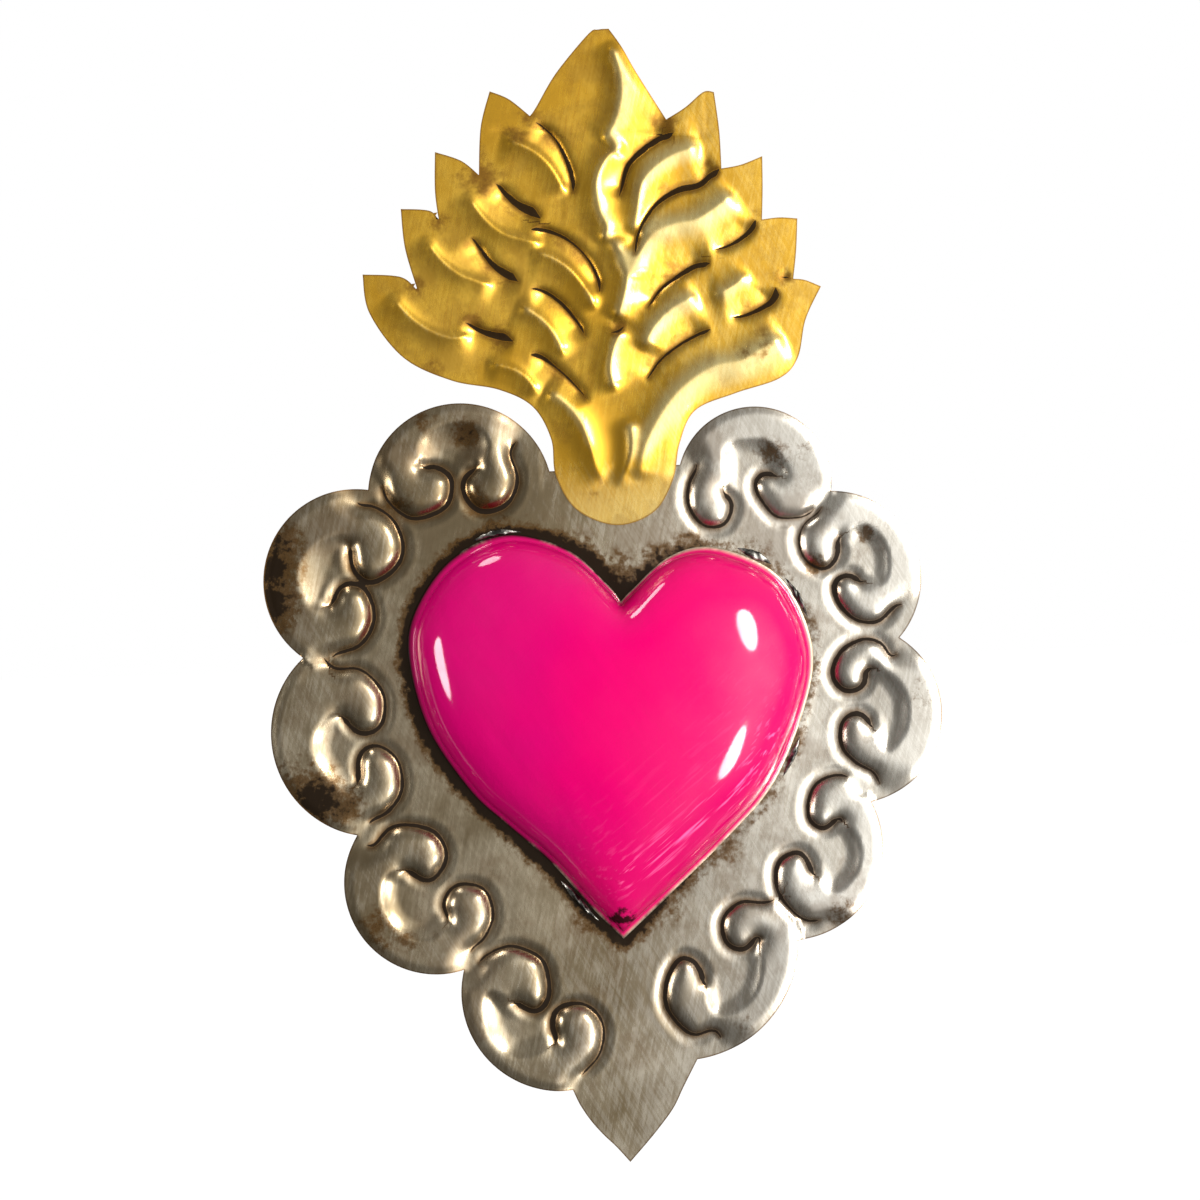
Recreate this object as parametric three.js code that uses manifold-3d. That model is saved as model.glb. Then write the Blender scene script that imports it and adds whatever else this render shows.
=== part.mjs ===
// A tin ex-voto plaque: a scalloped heart of grey tin with pressed scrolls, a gold flame of a second
// sheet above it, a hollow magenta heart in its middle, and a bent tin strap behind to hang it by.
// Millimetres, +Z up, +X to the viewer's right, front towards -Y.
// Outlines are [x, z] points measured from the leaf tip at the foot of the plaque.
import * as THREE from 'three';
import { mergeVertices } from 'three/addons/utils/BufferGeometryUtils.js';
import Module from 'manifold-3d';

const wasm = await Module();
wasm.setup();

// Sheets
const plateThickness = 0.4;
const flameThickness = 0.4;
const domeThickness = 0.4;

// Grey plate: scallops meet at these notches and bulge outwards between them.
// Each scallop holds one scroll: a hollow eye, and two bulbs, as [x, z, radius].
const plateTopLeft = [-11.5, 131.5];
const plateTopRight = [13.3, 132];
const leafLeftNotch = [-10.5, 14];
const leafRightNotch = [13.3, 19.1];
const leafTip = [0, 0];
const leftScallops = [
  { end: [-46, 129], bulge: 14.6, eye: [-29.5, 134.5, 7], bulbs: [[-22.3, 129.7, 5.6], [-36.5, 128.7, 6.2]] },
  { end: [-59.2, 97.5], bulge: 13.4, eye: [-51.5, 112.5, 8], bulbs: [[-45.5, 118.9, 6.6], [-50.8, 104.5, 6]] },
  { end: [-50, 63.5], bulge: 10.8, eye: [-49, 80.5, 8.3], bulbs: [[-49.4, 89.3, 6.1], [-46, 73.4, 6]] },
  { end: [-30.5, 37.4], bulge: 11.2, eye: [-37.5, 52, 8.1], bulbs: [[-39.7, 60.3, 6.1], [-29.3, 47.8, 5.5]] },
  { end: leafLeftNotch, bulge: 8, eye: [-19.5, 29, 7.9], bulbs: [[-21.2, 35.2, 6.9], [-9.3, 23.9, 6.1]] },
];
const rightScallops = [
  { end: [33, 41.2], bulge: 5.6, eye: [17.4, 36.5, 8.7], bulbs: [[12.8, 30.9, 6.8], [23, 44.5, 5]] },
  { end: [47.7, 67], bulge: 8, eye: [37.5, 57.5, 7.6], bulbs: [[34.4, 51.1, 6.4], [40.8, 67.4, 5.6]] },
  { end: [54, 98], bulge: 10.6, eye: [46, 84, 8.9], bulbs: [[46.4, 78.5, 5.3], [46.2, 93.2, 5.4]] },
  { end: [41.8, 126.2], bulge: 9.9, eye: [45.6, 112.8, 6.8], bulbs: [[47.5, 105.8, 5.8], [39.5, 117.1, 5.2]] },
  { end: plateTopRight, bulge: 13.5, eye: [27, 130, 6.5], bulbs: [[33.9, 126.3, 6.1], [18.5, 125.4, 5.3]] },
];
const leafLeftEdge = [leafLeftNotch, [-7.2, 8], [-2.5, 2.9], leafTip];
const leafRightEdge = [leafTip, [6.2, 7], [10.6, 14.1], leafRightNotch];
const scallopSteps = 14;

// Gold flame: each run is one smooth edge between two corners, anticlockwise from the top
const flameRuns = [
  [[2.2, 215], [0.2, 214.9], [-1.7, 214.1], [-8, 206.9], [-12, 200.5], [-13.2, 198.9]],
  [[-13.2, 198.9], [-17.1, 202.2], [-20.7, 203.8]],
  [[-20.7, 203.8], [-22.6, 197], [-23.2, 188]],
  [[-23.2, 188], [-26.5, 190.8], [-31.4, 192.6]],
  [[-31.4, 192.6], [-31.6, 185], [-30.9, 178.7]],
  [[-30.9, 178.7], [-32.5, 181.4], [-38.2, 182]],
  [[-38.2, 182], [-37.6, 174.5], [-35.4, 166.3]],
  [[-35.4, 166.3], [-38.5, 169.1], [-45.8, 169.8]],
  [[-45.8, 169.8], [-44.7, 162.4], [-38.5, 153.8], [-29.5, 149.2], [-20.6, 147.2], [-14.3, 143.8],
    [-11, 137.6], [-10.3, 130.6], [-6.5, 124], [1, 120.9], [8.1, 123.2], [11.9, 129.2],
    [13.4, 136.2], [16.5, 142.2], [24.1, 145.2], [32.6, 147.8], [36.2, 151.6], [37.9, 158.8], [41, 165]],
  [[41, 165], [38, 166.3], [35.8, 166.6]],
  [[35.8, 166.6], [36.5, 172], [36.9, 178]],
  [[36.9, 178], [33.5, 178.3], [30.2, 178]],
  [[30.2, 178], [30.5, 184], [30.6, 190]],
  [[30.6, 190], [26.5, 188.5], [22.8, 187.9]],
  [[22.8, 187.9], [22.6, 195], [21.8, 202.4]],
  [[21.8, 202.4], [19.8, 202.5], [16.3, 199.7], [12.6, 197.5]],
  [[12.6, 197.5], [7.3, 206.4], [4.5, 211.6], [2.2, 215]],
];

// Chased lines between the tongues of the flame, from its edge inwards
const flameGrooves = [
  [[-12.5, 197.9], [-7.5, 192.1], [-5.5, 183.1]],
  [[-20.4, 186.7], [-15.8, 181.5], [-10.1, 176.7], [-3.2, 171.4], [-0.9, 164.3]],
  [[-25.3, 176.6], [-21.3, 170.6], [-15.5, 167.2], [-8, 162.6], [-3.6, 156]],
  [[-28, 160], [-17.1, 156.1], [-12.1, 152.7], [-3.4, 143.9]],
  [[14.2, 195], [4.9, 189.2], [3, 182.1]],
  [[22.6, 187.9], [14.5, 184.4], [8.7, 180], [5.7, 170.6]],
  [[29.1, 178.1], [23.8, 173.5], [17.3, 169.9], [7.3, 160.8]],
  [[32.5, 165.2], [26.7, 160.3], [17.5, 156.9], [6.9, 147.4]],
  [[32.2, 154.6], [19.9, 150.2], [10.6, 142.7], [6.3, 132.6]],
  [[2.4, 212.3], [4.2, 203.3], [1.9, 195.6], [-0.9, 186.2], [0.8, 177], [3.8, 169], [1.6, 159.1],
    [0.8, 150], [3.9, 141.6], [3.3, 132.1]],
];

// Pressed relief, raised to the front and hollow behind
const bandRise = 1.3;
const bandShoulder = 2.6;
const bulbRise = 1.6;
const flameRise = 1.6;
const flameShoulder = 2.8;
const flameFlatFoot = 6.5;
const flameSwell = 10;
const plateReliefStep = 2.5;
const flameReliefStep = 2.9;

// Magenta heart: a drawn shell whose foot turns out onto the plate
const heartNotch = [1.3, 105.6];
const heartTip = [0, 43.8];
const heartRightSide = [[3.5, 107.8], [10.3, 113.5], [18, 115.2], [27.7, 111.6], [33.2, 105.6], [36.3, 95],
  [33.9, 83.7], [28, 71], [19, 61.2], [9.4, 52.3]];
const heartLeftSide = [[-5.5, 49.5], [-13, 58.3], [-20.6, 65.2], [-27.4, 71.8], [-34.8, 83.5], [-37.9, 96.5],
  [-36.5, 105], [-29.8, 114.1], [-19.6, 118.5], [-8.4, 115.5], [-1, 108.7]];
const domeHeight = 13;
const domeFootWidth = 1.2;
const domeMiddle = 0.36;
const domeRoundness = 0.85;
const domeSmoothing = 0.6;
const domeSides = 48;
const domeRings = 7;
const borderMargin = 1;

// Hanging strap behind the plate, one bent strip with a foot at each end
const hangerBelowTop = 15.5;
const hangerHeight = plateTopLeft[1] - hangerBelowTop;
const hangerGap = 5;
const strapThickness = 0.5;
const strapWidth = 8;
const strapCrown = 13;
const strapRamp = 3.5;
const strapFoot = 5;

// Solder: fillets that stand this far clear of the walls they follow
const solderClearance = 0.3;
const strapSolder = { reach: 1.6, rise: 0.8 };
const flameSolder = { width: 3, height: 1.4, rise: 0.7, inset: 1.2 };
const heartSolder = [
  { name: 'heart_solder_upper_left', from: -38, to: -26, reach: 1.8, rise: 1 },
  { name: 'heart_solder_upper_right', from: 34, to: 46, reach: 3, rise: 0.8 },
  { name: 'heart_solder_right', from: 50, to: 62, reach: 1.2, rise: 1.2 },
  { name: 'heart_solder_lower_right', from: 96, to: 110, reach: 1.4, rise: 1.2 },
  { name: 'heart_solder_tip', from: 188, to: 203, reach: 1.8, rise: 1.2 },
];
const solderTaper = 0.75;
const solderCrest = 0.4;
const solderSteps = 8;

// How finely smooth edges are drawn
const edgeSteps = 3;
const heartSteps = 6;

const plateFront = -plateThickness;
const circle = 2 * Math.PI;

// Points along a smooth curve through the given ones
function smoothRun(points, stepsPerPoint = edgeSteps) {
  const curve = new THREE.SplineCurve(points.map(([x, z]) => new THREE.Vector2(x, z)));
  return curve.getPoints((points.length - 1) * stepsPerPoint).map(({ x, y }) => [x, y]);
}

// Centre and radius of the arc that bulges to the right of the way from start to end
function arcBetween(start, end, bulge) {
  const chord = Math.hypot(end[0] - start[0], end[1] - start[1]);
  const radius = (chord * chord / 4 + bulge * bulge) / (2 * bulge);
  const outwards = [(end[1] - start[1]) / chord, -(end[0] - start[0]) / chord];
  const centre = [0, 1].map((axis) => (start[axis] + end[axis]) / 2 + outwards[axis] * (bulge - radius));
  return { centre, radius };
}

function arcRun(start, end, bulge) {
  const { centre, radius } = arcBetween(start, end, bulge);
  const from = Math.atan2(start[1] - centre[1], start[0] - centre[0]);
  let to = Math.atan2(end[1] - centre[1], end[0] - centre[0]);
  if (to < from) to += circle;
  return Array.from({ length: scallopSteps + 1 }, (_, step) => {
    const angle = from + (to - from) * step / scallopSteps;
    return [centre[0] + radius * Math.cos(angle), centre[1] + radius * Math.sin(angle)];
  });
}

// One closed outline from runs that each start where the last one ended
function joinRuns(runs) {
  return runs.flatMap((run) => run.slice(0, -1));
}

function withStarts(scallops, first) {
  return scallops.map((scallop, index) => {
    const start = index === 0 ? first : scallops[index - 1].end;
    return { ...scallop, start, ...arcBetween(start, scallop.end, scallop.bulge) };
  });
}

const scallops = [
  ...withStarts(leftScallops, plateTopLeft),
  ...withStarts(rightScallops, leafRightNotch),
];
const scallopRuns = scallops.map(({ start, end, bulge }) => arcRun(start, end, bulge));
const leafAt = leftScallops.length;
const plateOutline = joinRuns([
  ...scallopRuns.slice(0, leafAt),
  smoothRun(leafLeftEdge),
  smoothRun(leafRightEdge),
  ...scallopRuns.slice(leafAt),
  [plateTopRight, plateTopLeft],
]);
const flameOutline = joinRuns(flameRuns.map((run) => smoothRun(run)));

// The heart's outline in polar form about its middle, angles clockwise from up
const heartCentre = [0, 1].map((axis) => heartNotch[axis] + (heartTip[axis] - heartNotch[axis]) * domeMiddle);
const heartOutline = [
  ...smoothRun([heartNotch, ...heartRightSide, heartTip], heartSteps),
  ...smoothRun([heartTip, ...heartLeftSide, heartNotch], heartSteps).slice(1),
];
const notchAngle = Math.atan2(heartNotch[0] - heartCentre[0], heartNotch[1] - heartCentre[1]);
const heartPolar = heartOutline.map(([x, z]) => {
  const angle = Math.atan2(x - heartCentre[0], z - heartCentre[1]) - notchAngle;
  return { angle: (angle + circle) % circle, radius: Math.hypot(x - heartCentre[0], z - heartCentre[1]) };
});
heartPolar[0].angle = 0;
heartPolar.at(-1).angle = circle;
const heartMeanRadius = heartPolar.reduce((sum, { radius }) => sum + radius, 0) / heartPolar.length;

function heartRadius(angle) {
  const turn = ((angle - notchAngle) % circle + circle) % circle;
  const after = Math.max(1, heartPolar.findIndex((point) => point.angle >= turn));
  const [low, high] = [heartPolar[after - 1], heartPolar[after]];
  return low.radius + (high.radius - low.radius) * (turn - low.angle) / (high.angle - low.angle);
}

const footShare = 1 + domeFootWidth / heartMeanRadius;

// A point at this share of the heart's radius, plus an outward distance in millimetres
function alongHeart(angle, share, outwards = 0) {
  const roundedness = domeSmoothing * Math.max(0, 1 - share);
  const radius = share * THREE.MathUtils.lerp(heartRadius(angle), heartMeanRadius, roundedness) + outwards;
  return [heartCentre[0] + radius * Math.sin(angle), heartCentre[1] + radius * Math.cos(angle)];
}

// Solids
function solidOf(geometry) {
  geometry.deleteAttribute('normal');
  geometry.deleteAttribute('uv');
  const merged = mergeVertices(geometry);
  return new wasm.Manifold(new wasm.Mesh({
    numProp: 3,
    vertProperties: merged.attributes.position.array,
    triVerts: new Uint32Array(merged.index.array),
  }));
}

function geometryOf(solid) {
  const { vertProperties, triVerts } = solid.getMesh();
  const geometry = new THREE.BufferGeometry();
  geometry.setAttribute('position', new THREE.BufferAttribute(vertProperties, 3));
  geometry.setIndex(new THREE.BufferAttribute(triVerts, 1));
  return geometry;
}

// A plain prism of an [x, z] outline, that goes this deep to the front from y = back
function prism(outline, back, depth) {
  const shape = new THREE.Shape(outline.map(([x, z]) => new THREE.Vector2(x, z)));
  const geometry = new THREE.ExtrudeGeometry(shape, { depth, bevelEnabled: false });
  geometry.rotateX(Math.PI / 2);
  geometry.translate(0, back, 0);
  return geometry;
}

// A cutter that reaches past both faces of a sheet whose relief is this high
function throughCut(outline, thickness, back, highest) {
  return solidOf(prism(outline, back + highest, thickness + 3 * highest));
}

// A sheet of even thickness that follows a relief and is cut to an outline
function pressedSheet(outline, thickness, back, step, relief, highest) {
  const box = new THREE.Box2().setFromPoints(outline.map(([x, z]) => new THREE.Vector2(x, z)));
  const size = box.getSize(new THREE.Vector2()).addScalar(2 * step);
  const middle = box.getCenter(new THREE.Vector2());
  const columns = Math.ceil(size.x / step);
  const rows = Math.ceil(size.y / step);
  const slab = new THREE.BoxGeometry(size.x, thickness, size.y, columns, 1, rows);
  slab.translate(middle.x, back - thickness / 2, middle.y);
  const position = slab.attributes.position;
  for (let index = 0; index < position.count; index += 1) {
    const rise = relief(position.getX(index), position.getZ(index));
    position.setY(index, position.getY(index) - rise);
  }
  return solidOf(slab).intersect(throughCut(outline, thickness, back, highest));
}

// Rises from nothing at an edge to nearly full height one shoulder away
function shoulderRise(distance, shoulder) {
  return distance <= 0 ? 0 : 1 - Math.exp(-2 * (distance / shoulder) ** 2);
}

// The raised band between a scallop's rim and the eye of its scroll, ending in the two bulbs
function scrollRise({ centre, radius, eye, bulbs }, x, z) {
  const [first, second] = bulbs;
  const side = (second[0] - first[0]) * (z - first[1]) - (second[1] - first[1]) * (x - first[0]);
  const toEye = Math.hypot(x - eye[0], z - eye[1]) - eye[2];
  const toRim = radius - Math.hypot(x - centre[0], z - centre[1]);
  const band = side < 0 ? bandRise * shoulderRise(Math.min(toEye, toRim), bandShoulder) : 0;
  const bumps = bulbs.map(([bulbX, bulbZ, bulbRadius]) => {
    const inside = bulbRadius - Math.hypot(x - bulbX, z - bulbZ);
    return bulbRise * shoulderRise(Math.min(inside, toRim), bandShoulder);
  });
  return Math.max(band, ...bumps);
}

// The relief dies away towards the foot of the heart
function plateRelief(x, z) {
  const [across, up] = [x - heartCentre[0], z - heartCentre[1]];
  const footEdge = heartRadius(Math.atan2(across, up)) * footShare + borderMargin;
  const fade = THREE.MathUtils.smoothstep(Math.hypot(across, up) - footEdge, 0, borderMargin);
  return fade * Math.max(...scallops.map((scallop) => scrollRise(scallop, x, z)));
}

function distanceToLine(points, x, z) {
  let nearest = Infinity;
  for (let index = 1; index < points.length; index += 1) {
    const [ax, az] = points[index - 1];
    const [bx, bz] = points[index];
    const length = (bx - ax) ** 2 + (bz - az) ** 2;
    const share = THREE.MathUtils.clamp(((x - ax) * (bx - ax) + (z - az) * (bz - az)) / length, 0, 1);
    nearest = Math.min(nearest, Math.hypot(x - ax - share * (bx - ax), z - az - share * (bz - az)));
  }
  return nearest;
}

function isInside(outline, x, z) {
  let inside = false;
  outline.forEach(([ax, az], index) => {
    const [bx, bz] = outline[(index + 1) % outline.length];
    if ((az > z) !== (bz > z) && x < ax + (bx - ax) * (z - az) / (bz - az)) inside = !inside;
  });
  return inside;
}

const flameLines = [...flameGrooves.map((groove) => smoothRun(groove)), [...flameOutline, flameOutline[0]]];
const flameFoot = Math.min(...flameOutline.map(([, z]) => z));

// The foot of the flame stays flat, to be soldered to the plate
function flameRelief(x, z) {
  if (!isInside(flameOutline, x, z)) return 0;
  const swell = THREE.MathUtils.smoothstep(z - flameFoot - flameFlatFoot, 0, flameSwell);
  const distance = Math.min(...flameLines.map((line) => distanceToLine(line, x, z)));
  return swell * flameRise * shoulderRise(distance, flameShoulder);
}

// The plate is pressed in its border only, so its middle is one flat sheet
function backPlate() {
  const border = pressedSheet(plateOutline, plateThickness, 0, plateReliefStep, plateRelief, bulbRise);
  const flatOutline = Array.from({ length: domeSides }, (_, side) => (
    alongHeart(notchAngle + circle * side / domeSides, footShare, borderMargin)
  ));
  const opening = throughCut(flatOutline, plateThickness, 0, bulbRise);
  const middle = solidOf(prism(flatOutline, 0, plateThickness));
  return geometryOf(border.subtract(opening).add(middle));
}

// The flame's sheet lies on the front of the plate
function flameCrest() {
  const step = flameReliefStep;
  return geometryOf(pressedSheet(flameOutline, flameThickness, plateFront, step, flameRelief, flameRise));
}

// The heart is turned as a round dome, then each ring is drawn out to the heart's own outline
function heartDome() {
  const wall = domeThickness / heartMeanRadius;
  const crown = (share, height) => Array.from({ length: domeRings + 1 }, (_, ring) => {
    const angle = Math.PI / 2 * ring / domeRings;
    const across = Math.max(0, Math.cos(angle)) ** domeRoundness;
    return new THREE.Vector2(share * across, height * Math.sin(angle) ** domeRoundness);
  });
  const outer = crown(1, domeHeight);
  const inner = crown(1 - wall, domeHeight - domeThickness);
  outer[0].y = domeThickness;
  const profile = [
    ...outer.toReversed(),
    new THREE.Vector2(footShare, domeThickness),
    new THREE.Vector2(footShare, 0),
    ...inner,
  ];
  const geometry = new THREE.LatheGeometry(profile, domeSides, notchAngle);
  const position = geometry.attributes.position;
  for (let index = 0; index < position.count; index += 1) {
    const share = Math.hypot(position.getX(index), position.getZ(index));
    const angle = Math.atan2(position.getX(index), position.getZ(index));
    const [x, z] = alongHeart(angle, share);
    position.setXYZ(index, x, plateFront - position.getY(index), z);
  }
  return geometry;
}

// Side view of a bent strip: its lower line, and the same line one thickness higher
function stripSection(line, thickness) {
  const normals = line.slice(1).map(([x, y], index) => {
    const [fromX, fromY] = line[index];
    const length = Math.hypot(x - fromX, y - fromY);
    return [-(y - fromY) / length, (x - fromX) / length];
  });
  const raised = line.map(([x, y], index) => {
    const [before, after] = [normals[Math.max(0, index - 1)], normals[Math.min(index, normals.length - 1)]];
    const sum = [before[0] + after[0], before[1] + after[1]];
    const scale = 2 * thickness / (sum[0] ** 2 + sum[1] ** 2);
    return [x + sum[0] * scale, y + sum[1] * scale];
  });
  return [...line, ...raised.toReversed()];
}

const strapHalf = strapCrown / 2 + strapRamp + strapFoot;
const hangerFace = hangerGap + strapThickness;

// A bar whose [x, y] section runs along Z, centred on the hanger's height
function barAcross(section, width) {
  const shape = new THREE.Shape(section.map(([x, y]) => new THREE.Vector2(x, y)));
  const geometry = new THREE.ExtrudeGeometry(shape, { depth: width, bevelEnabled: false });
  geometry.translate(0, 0, hangerHeight - width / 2);
  return geometry;
}

function hangerStrap() {
  const ramp = strapCrown / 2 + strapRamp;
  const line = [
    [-strapHalf, 0], [-ramp, 0], [-strapCrown / 2, hangerGap],
    [strapCrown / 2, hangerGap], [ramp, 0], [strapHalf, 0],
  ];
  return barAcross(stripSection(line, strapThickness), strapWidth);
}

function strapSolderFillet(side) {
  const start = strapHalf + solderClearance;
  const section = [[start, 0], [start + strapSolder.reach, 0], [start, strapSolder.rise]];
  const placed = section.map(([x, y]) => [side * x, y]);
  return barAcross(side > 0 ? placed : placed.toReversed(), strapWidth);
}

// Height of the plate's straight top edge at x
function topEdgeHeight(x) {
  const share = (x - plateTopLeft[0]) / (plateTopRight[0] - plateTopLeft[0]);
  return THREE.MathUtils.lerp(plateTopLeft[1], plateTopRight[1], share);
}

// A small wedge behind the flame, that follows the top edge of the plate
function flameSolderWedge(corner, side) {
  const outer = corner[0] - side * flameSolder.inset;
  const [left, right] = [outer, outer - side * flameSolder.width].toSorted((a, b) => a - b);
  const [lowLeft, lowRight] = [left, right].map((x) => topEdgeHeight(x) + solderClearance);
  const outline = [
    [left, lowLeft], [right, lowRight],
    [right, lowRight + flameSolder.height], [left, lowLeft + flameSolder.height],
  ];
  return prism(outline, plateFront + flameSolder.rise, flameSolder.rise);
}

// A fillet of solder that follows the foot of the heart, thin at its ends
function heartSolderFillet({ from, to, reach, rise }) {
  const geometry = new THREE.BoxGeometry(1, 1, 1, solderSteps, 1, 1);
  const position = geometry.attributes.position;
  for (let index = 0; index < position.count; index += 1) {
    const run = 0.5 - position.getX(index);
    const high = position.getY(index) > 0;
    const far = position.getZ(index) > 0;
    const fullness = 1 - solderTaper * (2 * run - 1) ** 2;
    const angle = THREE.MathUtils.degToRad(from + (to - from) * run);
    const width = far ? reach * fullness * (high ? solderCrest : 1) : 0;
    const [x, z] = alongHeart(angle, footShare, solderClearance + width);
    position.setXYZ(index, x, plateFront - (high ? rise * fullness : 0), z);
  }
  return geometry;
}

// Finishes
const finishes = {
  tin: { color: 0x8d8271, roughness: 0.42, metalness: 1 },
  gold: { color: 0xb98a2c, roughness: 0.38, metalness: 1 },
  enamel: { color: 0xe0006a, roughness: 0.12, metalness: 0 },
  solder: { color: 0xb8b3a6, roughness: 0.35, metalness: 1 },
};

const plaque = new THREE.Group();
plaque.position.set(0, -hangerFace, -hangerHeight);

function addPiece(name, finish, geometry) {
  const piece = new THREE.Mesh(geometry, new THREE.MeshStandardMaterial(finishes[finish]));
  piece.name = name;
  plaque.add(piece);
}

addPiece('back_plate', 'tin', backPlate());
addPiece('flame_crest', 'gold', flameCrest());
addPiece('heart_dome', 'enamel', heartDome());
addPiece('hanger_strap', 'tin', hangerStrap());
addPiece('strap_solder_left', 'solder', strapSolderFillet(-1));
addPiece('strap_solder_right', 'solder', strapSolderFillet(1));
addPiece('flame_solder_left', 'solder', flameSolderWedge(plateTopLeft, -1));
addPiece('flame_solder_right', 'solder', flameSolderWedge(plateTopRight, 1));
heartSolder.forEach((fillet) => addPiece(fillet.name, 'solder', heartSolderFillet(fillet)));

const model = new THREE.Group();
model.add(plaque);

export default model;
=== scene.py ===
"""A tin ex-voto plaque: a scalloped heart of grey tin with chased scrolls, a gold flame of a second
sheet above it, a hollow enamelled heart in its middle, and a bent tin strap behind to hang it by.

Outlines and chased lines are (x, z) points in millimetres from the leaf tip at the foot of the
plaque, as seen from the front. Heights of relief are millimetres towards the viewer.
"""

import math

import bmesh
import bpy
import numpy as np
from mathutils import Matrix, Vector
from mathutils.kdtree import KDTree


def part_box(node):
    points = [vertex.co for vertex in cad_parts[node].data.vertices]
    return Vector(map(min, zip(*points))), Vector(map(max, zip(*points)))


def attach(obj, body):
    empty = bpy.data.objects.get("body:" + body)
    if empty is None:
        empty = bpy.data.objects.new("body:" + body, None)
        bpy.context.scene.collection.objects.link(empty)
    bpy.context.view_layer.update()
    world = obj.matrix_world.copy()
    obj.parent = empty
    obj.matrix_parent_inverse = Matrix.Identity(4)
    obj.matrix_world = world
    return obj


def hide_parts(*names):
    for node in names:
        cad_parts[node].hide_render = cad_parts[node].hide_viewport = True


bl_info = {
    "name": "Tin ex-voto plaque",
    "version": (1, 0, 0),
    "blender": (4, 5, 0),
    "location": "3D View > Sidebar > Plaque",
    "description": "Builds a chased tin plaque with a gold flame and an enamelled heart",
    "category": "Object",
}

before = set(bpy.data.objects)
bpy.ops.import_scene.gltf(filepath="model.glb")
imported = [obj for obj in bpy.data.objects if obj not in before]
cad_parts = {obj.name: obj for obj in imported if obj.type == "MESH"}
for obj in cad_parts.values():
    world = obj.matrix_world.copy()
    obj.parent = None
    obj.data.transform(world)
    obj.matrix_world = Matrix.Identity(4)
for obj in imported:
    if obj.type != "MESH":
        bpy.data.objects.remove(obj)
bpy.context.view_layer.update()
MM = 0.001

# Thickness of the tin, and places that the frame gives, all in millimetres
TIN_THICKNESS = 0.4
LEAF_TIP_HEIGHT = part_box("back_plate")[0].z / MM
PLATE_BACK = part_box("heart_dome")[1].y / MM + TIN_THICKNESS
HEART_DEPTH = (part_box("heart_dome")[1].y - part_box("heart_dome")[0].y) / MM

# Step along smooth curves, and points along each arc
CURVE_STEP = 0.35
ARC_POINTS = 60

# Grey plate: the notches between its scallops, and how far each scallop bulges
PLATE_TOP_LEFT = (-11.5, 131.5)
PLATE_TOP_RIGHT = (13.3, 132)
LEAF_LEFT_NOTCH = (-10.5, 14)
LEAF_RIGHT_NOTCH = (13.3, 19.1)
LEFT_NOTCHES = [PLATE_TOP_LEFT, (-46, 129), (-59.2, 97.5), (-50, 63.5), (-30.5, 37.4), LEAF_LEFT_NOTCH]
LEFT_BULGES = [14.6, 13.4, 10.8, 11.2, 8]
RIGHT_NOTCHES = [LEAF_RIGHT_NOTCH, (33, 41.2), (47.7, 67), (54, 98), (41.8, 126.2), PLATE_TOP_RIGHT]
RIGHT_BULGES = [5.6, 8, 10.6, 9.9, 13.5]
LEAF_EDGE = [LEAF_LEFT_NOTCH, (-9.2, 11.1), (-7.2, 8), (-4.9, 5.3), (-2.5, 2.9), (0, 0)]
LEAF_OTHER_EDGE = [(0, 0), (3.3, 3.6), (6.2, 7), (8.6, 10.2), (10.6, 14.1), LEAF_RIGHT_NOTCH]

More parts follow.
